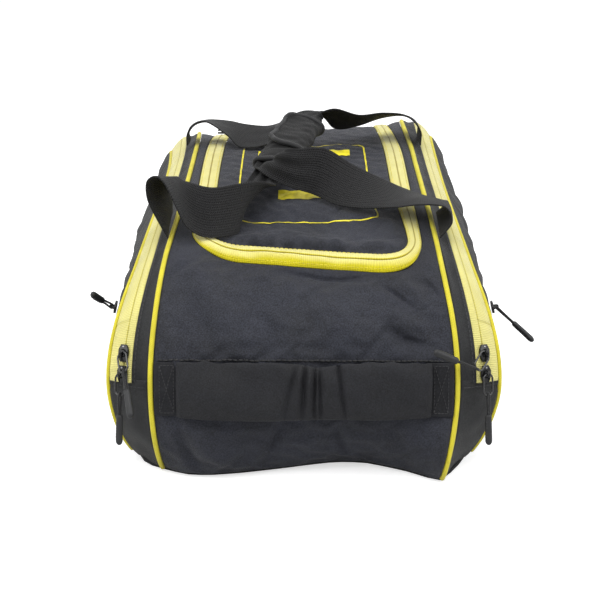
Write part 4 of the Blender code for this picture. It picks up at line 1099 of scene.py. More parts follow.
def hinge_lid(made, finish_slot, *nodes):
    """Bakes a piece's transform into its mesh, in place of CAD nodes. The ends of the lid's rear edge are
    worked out but not used.
    """
    stand_for(nodes)
    start, end = [(0.0, *map(float, profile(LID_REAR_REACH - back)[:2])) for back in (0.002, LID_BEND)]
    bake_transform(made)


def make_lid():
    front = -(LID_FRONT_REACH - LID_TAPE_AT_FRONT - SEAM)
    corner_end = LID_CORNER_RADIUS - LID_FRONT_REACH
    bend = front + (corner_end - front) * (1 - np.cos(np.linspace(0, math.pi / 2, 20)))
    arc = np.concatenate([bend, np.linspace(corner_end, LID_REAR_REACH - SEAM, 120)[1:]])[:, None]
    half = lid_half(arc)
    x = row(-1, 1, 68) * half
    points = skin(arc, x, lid_relief(arc, x, half))
    lid = cloth("lid_cloth", points, pair(x, arc), panel_finish, 0, (0, 0, 1))
    settle(lid, 0.34)
    thicken(lid)
    hinge_lid(lid, "black_polyester", "lid_panel")

    open_from = LID_REAR_REACH - LID_CLOSED_ZIP
    left = np.arange(len(LID_PATH)) < len(LID_PATH) // 2
    shut = left & (LID_PATH[:, 1] > open_from)
    made = lid_band("lid_zip_inner_band", LID_PATH[~shut], -1, tape_finish)
    hinge_lid(made, "yellow_tape", "lid_tape")
    made = lid_band("lid_zip_outer_band", LID_PATH, 1, tape_finish)
    put(made, "bag", "yellow_tape", "lid_frame_tape")
    made = lid_band("lid_zip_shut_band", LID_PATH[shut], -1, tape_finish)
    put(made, "bag", "yellow_tape")

    x, arc, out_x, out_arc, half, _ = LID_PATH.T
    everywhere = np.full(len(LID_PATH), True)
    for place, sign, keep in (("inner", -1, ~shut), ("outer", 1, everywhere)):
        offset = sign * (half - 0.0024)
        height = LID_BAND_LOW + LID_BAND_RISE * lid_frontness(half)
        lift = band_lift(np.abs(offset) / half, half, height) + 0.0001
        path = skin(arc + out_arc * offset, x + out_x * offset, lift)[keep]
        made = sew(f"lid_zip_{place}_stitches", path, SEAM_STITCH, yellow_thread_finish)
        if sign < 0:
            hinge_lid(made, "yellow_tape")
        else:
            put(made, "bag", "yellow_tape")
    make_print(lid)


def make_print(lid):
    """A plain outline and two bars printed on the lid."""
    parts = []

    def lay(centre, width):
        x, arc = centre.T
        tangent = unit(np.gradient(centre, axis=0))
        side = np.linspace(-0.5, 0.5, max(3, round(width / 0.0015))) * width
        across_x = x[:, None] - tangent[:, 1:2] * side
        across_arc = arc[:, None] + tangent[:, 0:1] * side
        points = on_piece(across_arc, across_x, lid, 0.0005)
        faces = grid_faces(*across_x.shape)
        corner = points.reshape(-1, 3)[faces]
        up = np.cross(corner[:, 1] - corner[:, 0], corner[:, 3] - corner[:, 0])[:, 2].sum()
        parts.append((points, (faces if up > 0 else faces[:, ::-1]).tolist(), pair(across_x, across_arc)))

    half_x, half_arc, middle, radius = 0.066, 0.118, -0.048, 0.014
    lay(resample(closed_up(rounded_outline(half_x, half_arc, radius, 8) + (0, middle)), 0.003), 0.0017)
    for arc, reach in ((-0.105, 0.026), (0.030, 0.050)):
        lay(pair(np.linspace(-reach, reach, 70), arc), 0.022)
    put(parts_object("lid_print", parts, print_finish), "lid", "yellow_tape")


def make_pipings():
    arcs = np.linspace(-HEM_ARC, HEM_ARC, 300)
    for side, label in SIDES:
        x = side * band_half(profile(arcs)[1])
        wobble = 0.0004 * waves(arcs, 0 * arcs, 0.05, 40 + side)
        path = skin(arcs, x, PIPING_SINK + wobble)
        made = cord_along(f"{label}_piping_cord", path, PIPING_RADIUS, 12, piping_finish)
        put(made, "bag", "yellow_tape", f"{label}_piping")


# Sides

ARCH_SHARES = np.array([0.0, 0.02, 0.05, 0.10, 0.18, 0.30, 0.45, 0.60, 0.72, 0.83, 0.92, 0.97, 1.0])


def arch_band(name, arcs, side, sign, finish, sunk=0.0):
    """Half of an arch zip band: the inner (-1) lies beside the gusset, the outer (1) beside the piping."""
    share = ARCH_SHARES[None]
    arc = arcs[:, None]
    far = GUSSET_END + 0.008 if sign < 0 else ARCH_TAPE_EDGE
    place = ZIP_LINE + (far - ZIP_LINE) * share
    z = profile(arc)[1]
    run_per_share = np.hypot(body_half(z) - band_half(z), ROLL_DEPTH)
    offset = sign * np.abs(far - ZIP_LINE) * share * run_per_share
    lift = band_lift(share, np.abs(offset[:, -1:]), ARCH_BAND_HEIGHT, 0.4)
    if sign > 0:
        lift = lift - 0.0006 * bell(share - 0.78, 0.05)
        lift = lift - 0.0007 * smoothstep(arc, arcs[-1] - 0.010, arcs[-1] - 0.002) * sunk
    points = strip(arc, place, side, lift)
    uv = pair(arc, offset)
    guide = strip_outward(arc, place, side)
    return cloth(name, points, uv, finish, BAND_THICKNESS, guide)


def hinge_flap(made, label, side, finish_slot, *nodes):
    """Bakes a piece's transform into its mesh, in place of CAD nodes."""
    stand_for(nodes)
    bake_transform(made)


def make_foot(label, side, end_label, end, low_arc, stop):
    """The strip's foot below one end of the arch zip, with its seam and the piping down to the floor."""
    arc = end * column(low_arc - 0.004, HEM_ARC, 44)
    inner = piping_share(arc)
    share = row(0, 1, 17)
    place = inner + (ARCH_TAPE_EDGE - inner) * share
    rim = np.sin(math.pi * share) ** 0.5
    relief = (0.0010 * waves(arc, share * 0.05, 0.03, 60 + side * end) - 0.0012) * rim
    relief = relief - 0.0012 * bell(np.abs(arc) - low_arc - 0.006, 0.003)
    uv = pair(arc, share * 0.05)
    guide = strip_outward(arc, place, side)
    points = strip(arc, place, side, relief)
    made = cloth(f"{end_label}_{label}_foot_cloth", points, uv, side_finish, PANEL_THICKNESS, guide)
    put(made, "bag", "black_polyester", f"{end_label}_{label}_foot")
    across = np.linspace(0.12, 0.96, 30)
    path = strip(np.full(30, end * (low_arc + 0.003)), across, side, 0.0003)
    made = sew(f"{end_label}_{label}_foot_stitches", path, SEAM_STITCH, thread_finish)
    put(made, "bag", "black_polyester")
    path = strip(end * np.linspace(stop, HEM_ARC - 0.013, 80), 1.0, side, PIPING_SINK)
    made = cord_along(f"{end_label}_{label}_foot_piping", path, OUTER_PIPING_RADIUS, 10, piping_finish)
    put(made, "bag", "yellow_tape")


def make_arch(label, side):
    top = arc_at(WIDEST_HEIGHT) - SEAM / 2
    shut = arc_at(CLOSED_ZIP_HEIGHT)
    arcs = np.linspace(-top, top, 280)
    share = row(0, 1, 9)
    arc = arcs[:, None]
    inner = piping_share(arc)
    place = inner + (GUSSET_EDGE - inner) * share
    belly = np.sin(math.pi * share)
    sag = -0.0016 * belly + 0.0007 * waves(arc, share * 0.03, 0.03, 50 + side) * belly
    uv = pair(arc, share * 0.022)
    guide = strip_outward(arc, place, side)
    points = strip(arc, place, side, sag)
    made = cloth(f"{label}_gusset_cloth", points, uv, side_finish, PANEL_THICKNESS, guide)
    put(made, "bag", "black_polyester", f"{label}_gusset")
    middle = inner[:, 0] + (GUSSET_EDGE - inner[:, 0]) * 0.82
    path = strip(arcs, middle, side, 0.0001)
    put(sew(f"{label}_gusset_stitches", path, SEAM_STITCH, thread_finish), "bag", "black_polyester")

    made = arch_band(f"{label}_zip_inner_band", arcs, side, -1, arch_tape_finish)
    put(made, "bag", "yellow_tape", f"{label}_zip_inner_tape")
    low = np.linspace(-top, -shut + 0.004, 32)
    put(arch_band(f"{label}_zip_shut_band", low, side, 1, arch_tape_finish, 1.0), "bag", "yellow_tape")
    high = np.linspace(-shut, top, 250)
    made = arch_band(f"{label}_zip_outer_band", high, side, 1, arch_tape_finish)
    hinge_flap(made, label, side, "yellow_tape", f"{label}_zip_outer_tape")

    low_arc = arc_at(WIDEST_HEIGHT) + SEAM / 2
    make_foot(label, side, "front", -1, low_arc, shut + SEAM / 4)
    make_foot(label, side, "rear", 1, low_arc, low_arc)
    path = strip(np.linspace(-shut - SEAM / 4, low_arc - SEAM, 260), 1.0, side, PIPING_SINK)
    made = cord_along(f"{label}_outer_piping_cord", path, OUTER_PIPING_RADIUS, 10, piping_finish)
    hinge_flap(made, label, side, "yellow_tape", f"{label}_outer_piping")


FLAP_FOLDS = (
    (((-0.180, 0.105), (-0.140, 0.125), (-0.120, 0.150)), 0.008, -0.0030),
    (((-0.060, 0.100), (0.000, 0.112), (0.070, 0.104)), 0.010, -0.0030),
    (((0.090, 0.160), (0.130, 0.140), (0.190, 0.128)), 0.009, -0.0030),
    (((-0.030, 0.170), (0.030, 0.160), (0.080, 0.168)), 0.012, 0.0025),
)
LOWER_FOLDS = (
    (((-0.200, 0.030), (-0.150, 0.055), (-0.110, 0.070)), 0.010, -0.0030),
    (((0.020, 0.025), (0.060, 0.050), (0.120, 0.060)), 0.012, -0.0030),
    (((-0.060, 0.080), (0.000, 0.060), (0.040, 0.050)), 0.012, 0.0025),
)
POCKET_SHARES = np.array([0.0, 0.04, 0.09, 0.16, 0.28, 0.42, 0.58, 0.74, 0.88, 1.0])


def flap_relief(y, z, side):
    """How far a side flap's cloth stands in or out: held flat along its edges and its pocket zip."""
    held = smoothstep(ceiling(y, FLAP_INSET) - z, 0.0, 0.014)
    held = held * smoothstep(z, WIDEST_HEIGHT, WIDEST_HEIGHT + 0.012)
    tape = POCKET_TAPE_WIDTH / 2
    beside = smoothstep(np.abs(z - POCKET_HEIGHT), tape + 0.001, tape + 0.016)
    swell = 0.0035 * np.sin(math.pi * np.clip((z - WIDEST_HEIGHT) / 0.09, 0, 1)) * np.cos(math.pi * y / 0.6)
    relief = rippled(swell + folds(y * side, z, FLAP_FOLDS), y, z, (0.0012, 0.05, 70 + side))
    return relief * held * beside


def pocket_lift(y, z, side, share):
    """How high the pocket's zip band stands, this share of the way out from the zip."""
    return flap_relief(y, z, side) + TOUCH + band_lift(share, POCKET_TAPE_WIDTH / 2, POCKET_BAND_HEIGHT)


def make_flap(label, side):
    low = WIDEST_HEIGHT + SEAM / 2
    reach = end_reach(WIDEST_HEIGHT + FLAP_CORNER, FLAP_INSET)
    y = row(-1, 1, 150) * reach
    share = column(0, 1, 36)
    z = low + (ceiling(y, FLAP_INSET) - low) * share
    y = np.broadcast_to(y, z.shape)
    points = flap(y, z, side, flap_relief(y, z, side))
    panel = cloth(f"{label}_flap_cloth", points, pair(y, z), side_finish, 0, (side, 0, 0))
    settle(panel, np.where(np.abs(z - POCKET_HEIGHT) < POCKET_TAPE_WIDTH / 2 + 0.003, 1.0, LOOSE).ravel())
    thicken(panel)
    hinge_flap(panel, label, side, "black_polyester", f"{label}_side_flap")

    share = POCKET_SHARES[:, None]
    for name, sign, nodes in (("low", -1, [f"{label}_pocket_tape"]), ("high", 1, [])):
        offset = sign * share * POCKET_TAPE_WIDTH / 2
        y, z = np.broadcast_arrays(row(POCKET_FRONT, POCKET_REAR, 90), POCKET_HEIGHT + offset)
        points = flap(y, z, side, pocket_lift(y, z, side, share))
        made = cloth(f"{label}_pocket_{name}_band", points, pair(y, offset), dark_tape_finish,
                     POCKET_BAND_THICKNESS, (side, 0, 0))
        put(made, f"{label}_flap", "webbing", *nodes)
    parts = []
    y = np.linspace(POCKET_FRONT, POCKET_REAR, 120)
    for offset in (-0.0095, 0.0095):
        z = np.full_like(y, POCKET_HEIGHT + offset)
        parts += stitch_parts(flap(y, z, side, pocket_lift(y, z, side, 0.79) + 0.0002), *SEAM_STITCH)
    put(parts_object(f"{label}_pocket_stitches", parts, thread_finish), f"{label}_flap", "webbing")


def make_lower_side(label, side):
    share = column(0, 1, 34)
    z = 0.001 + (WIDEST_HEIGHT - SEAM / 2 - 0.001) * share
    edge = np.linspace(arc_at(WIDEST_HEIGHT) - 0.02, HEM_ARC, 80)
    edge_y, edge_z, out_y, out_z = profile(edge)
    edge_y = edge_y - np.where(out_z < 0, 1.0, out_y) * ROLL_DEPTH
    edge_z = edge_z - np.maximum(out_z, 0) * ROLL_DEPTH
    y = row(-1, 1, 140) * (np.interp(z, edge_z[::-1], edge_y[::-1]) - 0.0015)
    z = np.broadcast_to(z, y.shape)
    rim = np.sin(math.pi * share) ** 0.6
    relief = rippled(folds(y, z, LOWER_FOLDS), y, z, (0.0014, 0.05, 80 + side)) * rim
    points = soften(np.stack([side * (body_half(z) + relief), y, z], -1))
    made = cloth(f"{label}_lower_cloth", points, pair(y, z), side_finish, PANEL_THICKNESS, (side, 0, 0))
    put(made, "bag", "black_polyester", f"{label}_lower_side")


def make_base():
    half_x, half_y = body_half(EDGE_HEIGHT) - 0.003, HALF_LENGTH - BASE_INSET - 0.003
    outline = resample(closed_up(rounded_outline(half_x, half_y, BASE_CORNER, 9)), 0.012)[:-1]
    rings = [(scale, 0.0) for scale in np.linspace(0.03, 1, 18)]
    for lift in (0.0012, 0.0024, BASE_THICKNESS):
        rings.append((1 + 0.002 * math.sin(lift / BASE_THICKNESS * math.pi), lift))
    rings += [(scale, BASE_THICKNESS) for scale in np.linspace(1, 0.03, 18)[1:]]
    rings = [np.column_stack([outline * scale, np.full(len(outline), lift)]) for scale, lift in rings]
    points = soften(rings)
    parts = [(points, capped_faces(*points.shape[:2], True), points[..., :2])]
    made = parts_object("base_cloth", parts, base_finish)
    put(made, "bag", "black_polyester", "base_panel")


def make_partition(label, side):
    depth = CLOTH + SEAM
    reach = HALF_LENGTH - 2 * depth
    y = row(-reach, reach, 90)
    share = column(0, 1, 30)
    low, high = underside(y, depth) + 0.002, ceiling(y, depth) - 0.002
    z = low + (high - low) * share
    y = np.broadcast_to(y, z.shape)
    x = side * (PARTITION_SPACING / 2) + 0.0018 * waves(y, z, 0.07, 90 + side) * np.sin(math.pi * share)
    points = np.stack([x, y, z], -1)
    made = cloth(f"{label}_partition_cloth", points, pair(y, z), lining_finish, LINING_THICKNESS,
                 (side, 0, 0))
    put(made, "bag", "lining", f"{label}_partition")


# Grips

GATHER_X, GATHER_WIDTH = 0.014, 0.024
# (place along the grip, slant, width, height) of each gather
PLEATS = (
    (-0.0120, 0.0060, 0.0030, -0.0026), (-0.0060, 0.0030, 0.0026, 0.0014),
    (-0.0005, 0.0020, 0.0022, -0.0034), (0.0045, 0.0010, 0.0026, 0.0016),
    (0.0098, 0.0005, 0.0018, -0.0036), (0.0120, 0.0000, 0.0012, 0.0012),
    (0.0148, -0.0008, 0.0018, -0.0028), (0.0230, -0.0015, 0.0052, 0.0026),
    (0.0345, -0.0035, 0.0022, -0.0036), (0.0400, -0.0035, 0.0030, 0.0012),
)


def make_grip_seam_and_shadow(panel):
    """Coarse, very dark stitches along the top of the front grip: real stitches that also paint the shadow in
    the gap between the grip and the panel.
    """
    x = np.linspace(-GRIP_HALF_WIDTH - TAB_WIDTH, GRIP_HALF_WIDTH + TAB_WIDTH, 90)
    arc = np.full(90, -arc_at(GRIP_LOW + GRIP_HEIGHT + 0.0015)) + 0.0006 * waves(x, 0 * x, 0.012, 130)
    path = on_piece(arc, x, panel, 0.0003)
    put(sew("front_grip_seam_and_shadow", path, GRIP_SEAM_AND_SHADOW_STITCH, thread_and_shadow_finish), "bag", "padded_polyester")


def make_grip(end_label, end):
    """A padded grip, gathered in the middle, in two halves."""
    low, high = arc_at(GRIP_LOW + 0.006), arc_at(GRIP_LOW + GRIP_HEIGHT)
    around = 44
    turn = turns(around)[None]
    for side, label in SIDES:
        x = column(*sorted((0.0, side * GRIP_HALF_WIDTH)), 120)
        share = x / GRIP_HALF_WIDTH
        up = squarish(np.cos(turn), 0.65)
        out = squarish(np.sin(turn), 0.9)
        gather = bell(x * -end - GATHER_X, GATHER_WIDTH)
        arc = (low + high) / 2 + (high - low) / 2 * (up * (1 - 0.085 * gather) - 0.055 * gather)
        front = np.maximum(out, 0)
        lift = TOUCH + 0.0006 + 0.75 * GRIP_FINGER_GAP * (1 - share**4) + GRIP_THICKNESS * (out + 1) / 2
        end_round = 1 - 0.35 * np.maximum(np.abs(share) - 0.97, 0) / 0.03
        lift = TOUCH + (lift - TOUCH) * (0.35 + 0.65 * end_round)
        pleats = 0
        for at, slant, width, height in PLEATS:
            pleats = pleats + height * bell(x * -end - at - slant * up, width)
        gathered = 1.35 * pleats * (0.75 + 0.25 * up)
        lift = lift + front**0.6 * rippled(gathered, x, arc, (0.0026, 0.05, 100 + end), (0.0007, 0.018, 99))
        lift = lift + front * 0.0012 * np.cos(math.pi * up / 2)
        arc = arc + 0.0009 * waves(x, 0 * turn, 0.016, 101 + end) * np.maximum(up, 0) ** 4
        points = skin(end * arc, x, lift)
        faces = grid_faces(len(x), around, True)[:, ::-end].tolist()
        outer_row = 0 if side < 0 else len(x) - 1
        cap = list(range(outer_row * around, (outer_row + 1) * around))
        faces.append(cap if (side < 0) == (end < 0) else cap[::-1])
        made = parts_object(f"{end_label}_grip_{label}_pad", [(points, faces, pair(x, arc))], grip_finish)
        if side < 0:
            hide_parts(f"{end_label}_grip")
        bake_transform(made)
        make_tab(end_label, end, label, side, low, high)


def make_tab(end_label, end, label, side, low, high):
    """The tab that holds one end of a grip, sewn with a crossed box."""
    def lift(x, arc):
        return TOUCH + CLOTH * 0.7 + 0.0005 * waves(x, arc, 0.02, 110 + end + side)

    inner = GRIP_HALF_WIDTH + SEAM
    x = side * row(inner - 0.006, inner + TAB_WIDTH + 0.003, 16)
    arc = column(low, high, 30)
    points = skin(end * arc, x, lift(x, arc))
    made = cloth(f"{end_label}_{label}_tab_cloth", points, pair(x, arc), grip_finish, TAB_THICKNESS,
                 (0, end, 0.2))
    put(made, "bag", "padded_polyester", f"{end_label}_{label}_grip_tab")
    box = [(0.12, 0.06), (0.88, 0.06), (0.88, 0.94), (0.12, 0.94), (0.12, 0.06)]
    parts = []
    for line in (box[:2], box[1:3], box[2:4], box[3:], (box[0], box[2]), (box[1], box[3])):
        across, along = resample(line, 0.05).T
        x = side * (inner + TAB_WIDTH * across)
        arc = low + (high - low) * along
        parts += stitch_parts(skin(end * arc, x, lift(x, arc) + 0.0003), *TAB_STITCH)
    made = parts_object(f"{end_label}_{label}_tab_stitches", parts, thread_finish)
    put(made, "bag", "padded_polyester")


# Handles

def smooth(points, steps):
    """A smooth curve through the points, with this many steps between neighbours."""
    points = np.asarray(points, float)
    padded = np.concatenate([[2 * points[0] - points[1]], points, [2 * points[-1] - points[-2]]])
    found = []
    for before, start, end, after in zip(padded, padded[1:], padded[2:], padded[3:]):
        for t in np.arange(steps) / steps:
            curve = 2 * start + (end - before) * t + (2 * before - 5 * start + 4 * end - after) * t**2
            found.append((curve + (3 * start - before - 3 * end + after) * t**3) / 2)
    return np.array([*found, points[-1]])


def wrap_place():
    middle = Matrix.Translation(WRAP_MIDDLE)
    return middle @ Matrix.Rotation(-WRAP_TURN, 4, "Z") @ Matrix.Rotation(WRAP_TILT, 4, "X")


def handle_foot(side, reach):
    y, z, out_y, out_z = (float(value) for value in profile(reach))
    point = np.array((side * HANDLE_SPACING / 2, y + out_y * HANDLE_CLEARANCE, z + out_z * HANDLE_CLEARANCE))
    return point, np.array((0, out_z, -out_y))


def handle_route(side):
    """Middle line of one handle. Each stop is (point, direction of the width, width)."""
    place = wrap_place()
    across = np.array(place.to_3x3() @ Vector((1, 0, 0)))
    layer = side * (WRAP_LAYER + WEBBING_THICKNESS / 2)
    before, after = LEFT_ROUTE if side < 0 else RIGHT_ROUTE
    front, front_width = handle_foot(side, -HANDLE_FRONT_REACH)
    rear, rear_width = handle_foot(side, HANDLE_REAR_REACH)

    def way(foot, stops):
        for step, direction, flat in stops:
            direction = unit(np.array(direction))
            wide = GATHERED_WIDTH + (WEBBING_WIDTH - GATHERED_WIDTH) * flat
            yield foot + step + (0, 0, abs(direction[2]) * wide / 2), direction, wide

    route = [(front, front_width, WEBBING_WIDTH), *way(front, before)]
    for stop in WRAP_STOPS:
        route.append((np.array(place @ Vector((0, stop * WRAP_LENGTH, layer))), across, GATHERED_WIDTH))
    return [*route, *way(rear, after), (rear, -side * rear_width, WEBBING_WIDTH)]


def make_handle(label, side):
    points, directions, widths = zip(*handle_route(side))
    middle = smooth(points, 14)
    width = unit(smooth(directions, 14))
    wide = smooth(np.array(widths)[:, None], 14)
    ahead = np.gradient(middle, axis=0)
    normal = unit(np.cross(ahead, width))
    across = np.linspace(-1, 1, 25)
    run = run_along(middle)
    gather = np.clip((WEBBING_WIDTH - wide) / (WEBBING_WIDTH - GATHERED_WIDTH), 0, 1)
    corrugated = 0.0016 * gather * np.sin(across[None] * math.pi * 2.5 + 0.6)
    curl = 0.0011 * (across[None] ** 2 - 0.4) * np.sin(run[:, None] / 0.045 + side)
    lift = corrugated + curl * (1 - gather)
    sheet = middle[:, None] + width[:, None] * (across[None, :, None] * wide[:, :, None] / 2)
    sheet = sheet + normal[:, None] * lift[..., None]
    uv = pair(run[:, None], across[None] * WEBBING_WIDTH / 2)
    thickness = WEBBING_THICKNESS * 0.85
    made = cloth(f"{label}_webbing_strap", sheet, uv, webbing_finish, thickness, normal[:, None])
    made.modifiers["thickness"].offset = 0
    subdivide(made)
    put(apply_modifiers(made), f"{label}_handle", "webbing", f"{label}_handle_webbing")


def make_wrap():
    """The wrap: a padded sleeve round both handles, closed by a bound tongue that lies over it."""
    place = np.array(wrap_place())
    half_x = GATHERED_WIDTH / 2 + TOUCH + WRAP_WALL
    half_z = WRAP_LAYER + WEBBING_THICKNESS + TOUCH + WRAP_WALL

    def shape(along, degrees, extra):
        turn = np.radians(degrees)
        round_x, round_z = squarish(np.cos(turn), 0.75), squarish(np.sin(turn), 0.85)
        pinch = 1 - 0.10 * smoothstep(np.abs(along) / WRAP_LENGTH, 0.35, 0.5)
        crumple = rippled(0.0, along, turn * WRAP_ROUND, (0.0012, 0.026, 120), (0.0006, 0.010, 121))
        x = round_x * (half_x * pinch + crumple + extra)
        z = round_z * (half_z * (1.10 * pinch) + crumple + extra)
        local = np.stack(np.broadcast_arrays(x, along, z), -1)
        guide = np.stack(np.broadcast_arrays(round_x, 0 * along, round_z), -1)
        return local @ place[:3, :3].T + place[:3, 3], guide @ place[:3, :3].T

    def sheet(name, along, degrees, extra, finish):
        points, guide = shape(along, degrees, extra)
        uv = pair(along, np.radians(degrees) * WRAP_ROUND)
        made = cloth(name, points, uv, finish, WRAP_THICKNESS, guide, 1)
        return made, points

    def bind(name, path, closed):
        path = resample(path, 0.0025)
        path = path[:-1] if closed else path
        put(cord_along(name, path, BINDING_RADIUS, 10, binding_finish, closed), "right_handle", "wrap")

    degrees = row(0, 360, 110)
    along = column(-0.5, 0.36, 70) * WRAP_LENGTH
    # The sleeve takes the darker, painted-shade copy of the wrap's cloth
    sleeve, points = sheet("handle_wrap_sleeve", along, degrees, 0.0, shaded_sleeve_finish)
    put(sleeve, "right_handle", "wrap", "handle_wrap")
    bind("handle_wrap_front_binding", points[0], True)
    degrees = row(-35, 112, 60)
    corner = 0.012 * (1 - np.sqrt(1 - smoothstep(degrees, 78, 112) ** 2 * 0.98))
    front, rear = -0.24 * WRAP_LENGTH + corner, 0.39 * WRAP_LENGTH - corner
    along = front + (rear - front) * column(0, 1, 50)
    extra = 0.0036 * smoothstep(degrees, -35, 10) + 0.0030 * smoothstep(degrees, 85, 112)
    tongue, points = sheet("handle_wrap_tongue", along, degrees, extra, wrap_finish)
    put(tongue, "right_handle", "wrap")
    rim = np.concatenate([points[0], points[1:, -1], points[-1, ::-1][1:]])
    bind("handle_wrap_tongue_binding", rim, False)


# Sliders and pulls

def make_slider_mesh():
    """One slider in its own frame: a bevelled shield plate, a bridge and a rivet."""
    half, tail, end = 0.58 * SLIDER_WIDTH, 0.55 * SLIDER_TAIL_WIDTH, SLIDER_LENGTH / 2
    outline = [(-tail, -end), (tail, -end), (half, -0.25 * end), (half, 0.4 * end), (tail, end), (-tail, end)]
    outline += [(-half, 0.4 * end), (-half, -0.25 * end)]
    bm = bmesh.new()
    plate_low = SLIDER_CLEARANCE + SHIELD_GAP
    face = bm.faces.new([bm.verts.new((x, y, plate_low)) for x, y in outline])
    grown = bmesh.ops.extrude_face_region(bm, geom=[face])["geom"]
    upper = [vert for vert in grown if isinstance(vert, bmesh.types.BMVert)]
    bmesh.ops.translate(bm, verts=upper, vec=(0, 0, PLATE_TOP - plate_low))
    bmesh.ops.recalc_face_normals(bm, faces=bm.faces[:])
    bmesh.ops.bevel(bm, geom=bm.edges[:], offset=0.0007, segments=3, profile=0.6, affect="EDGES")
    arch = []
    reach = BRIDGE_LENGTH / 2 - BRIDGE_WALL / 2
    for turn in np.linspace(0, math.pi, 15):
        y = reach * squarish(math.cos(turn), 0.6)
        rise = (BRIDGE_HEIGHT - BRIDGE_WALL / 2 + BRIDGE_SINK) * math.sin(turn) ** 0.6
        arch.append((0.0, y, PLATE_TOP - BRIDGE_SINK + rise))
    points, faces, _ = tube_parts(arch, BRIDGE_WALL / 2, 10)
    points[..., 0] *= BRIDGE_WIDTH / BRIDGE_WALL
    verts = [bm.verts.new(point) for point in points.reshape(-1, 3)]
    for face in faces:
        bm.faces.new([verts[i] for i in face])
    before = set(bm.faces)
    rivet = Matrix.Translation((0, 0.72 * end, PLATE_TOP)) @ Matrix.Diagonal((1, 1, 0.7, 1))
    bmesh.ops.create_uvsphere(bm, u_segments=16, v_segments=10, radius=0.0010, matrix=rivet)
    for face in bm.faces:
        if face not in before:
            face.material_index = 1
    mesh = bpy.data.meshes.new("slider_body")
    bm.to_mesh(mesh)
    bm.free()
    mesh.shade_smooth()
    mesh.set_sharp_from_angle(angle=math.radians(45))
    for finish in (slider_finish, rivet_finish):
        mesh.materials.append(finish)
    return mesh


def slider_frame(point, ahead, normal):
    across = ahead.cross(normal).normalized()
    along = normal.cross(across)
    return Matrix.Translation(point) @ Matrix((across, along, normal)).transposed().to_4x4()


def make_link(name):
    half, radius = LINK_LENGTH / 2, LINK_WIDTH / 2.4
    ring = rounded_outline(LINK_WIDTH / 2, half, radius, 12) + (0, half)
    path = np.column_stack([ring, np.zeros(len(ring))])
    path = resample(closed_up(path), 0.0007)[:-1]
    return cord_along(name, path, 1.15 * LINK_WIRE_RADIUS, 10, wire_finish, True)


def grip_parts(hook, bend, start):
    """Cord loop and moulded grip of a pull, in its own frame."""
    direction = np.array((math.sin(bend), math.cos(bend), 0.0))
    sideways = np.array((math.cos(bend), -math.sin(bend), 0.0))
    upward = np.array((0.0, 0.0, 1.0))
    origin = np.array((0.0, hook, 0.0))
    spread = upward if hook else sideways
    entry = start + CORD_LENGTH + 0.003
    wide = LINK_WIRE_RADIUS + 0.0011
    half = [(entry, 0.0011), (0.6 * entry, 0.0013), (0.004, wide), (0.0008, 0.8 * wide)]
    course = [*((run, -off) for run, off in half), (-0.0019, 0.0), *half[::-1]]
    loop = [origin + direction * run + spread * off for run, off in course]
    cord = tube_parts(smooth(loop, 6), 0.00105, 10)
    begin = start + CORD_LENGTH
    straight = PULL_LENGTH - PULL_TIP
    runs = np.concatenate([np.linspace(0, PULL_NECK, 5), np.linspace(PULL_NECK, straight, 46)[1:],
                           straight + PULL_TIP * np.sin(np.linspace(0, math.pi / 2, 9))[1:]])
    shape = np.interp(runs, (0, PULL_NECK / 3, PULL_NECK, straight), (0.62, 0.82, 0.92, 1.0))
    tip = runs > straight
    shape[tip] = np.sqrt(np.maximum(1 - ((runs[tip] - straight) / PULL_TIP) ** 2, 0.0)) * 0.98 + 0.02
    turn = turns(28)
    ridges = 0.5 + 0.5 * np.sin(2 * math.pi * (runs - RIDGE_START) / RIDGE_PITCH)
    zone = smoothstep(runs, RIDGE_START, 0.006) * (1 - smoothstep(runs, 0.020, 0.022))
    bump = 1 + 0.17 * (ridges * zone)[:, None] * np.maximum(np.cos(turn)[None], 0) ** 4
    radius = PULL_RADIUS * 0.93 * shape[:, None] * bump
    ring = sideways * np.cos(turn)[:, None] + 0.82 * upward * np.sin(turn)[:, None]
    points = origin + direction * (begin + runs)[:, None, None] + ring[None] * radius[..., None]
    faces = capped_faces(len(runs), len(turn), True)
    uv = pair(runs[:, None], turn[None] * PULL_RADIUS)
    return cord, (points, faces, uv)


slider_mesh = make_slider_mesh()


def make_slider(label, place, linked=True):
    slider = add_object(f"{label}_slider_shield", slider_mesh)
    slider.matrix_world = place
    put(slider, f"{label}_slider_body", "slider", f"{label}_slider")
    swing, lift, bend = [math.radians(angle) for angle in PULL_POSES[label]]
    flat = Vector((math.sin(swing), -math.cos(swing), 0))
    away = flat * math.cos(lift) + Vector((0, 0, math.sin(lift)))
    out = Vector((0, 0, math.cos(lift))) - flat * math.sin(lift)
    turn = Matrix((away.cross(out), away, out)).transposed().to_4x4()
    hung = place @ Matrix.Translation((0, 0, LINK_HEIGHT)) @ turn
    hook, start = 0.0, BRIDGE_LENGTH
    if linked:
        link = make_link(f"{label}_wire_link")
        link.matrix_world = hung
        put(link, f"{label}_pull_body", "wire", f"{label}_link")
        room = LINK_WIRE_RADIUS + TOUCH + CORD_RADIUS * abs(math.sin(bend))
        hook, start = LINK_LENGTH, room / math.cos(bend)
    cord, grip = grip_parts(hook, bend, start)
    for name, part, finish, nodes in (
        ("cord_loop", cord, cord_finish, []),
        ("pull_grip", grip, rubber_finish, [f"{label}_pull"]),
    ):
        made = parts_object(f"{label}_{name}", [part], finish)
        made.matrix_world = hung
        put(made, f"{label}_pull_body", "pull", *nodes)


def on_strip(arc, share, side):
    """Point and outward normal on an arch strip."""
    here = strip(arc, share, side)
    normal = strip(arc, share, side, 0.001) - here
    return Vector(here), Vector(normal).normalized()


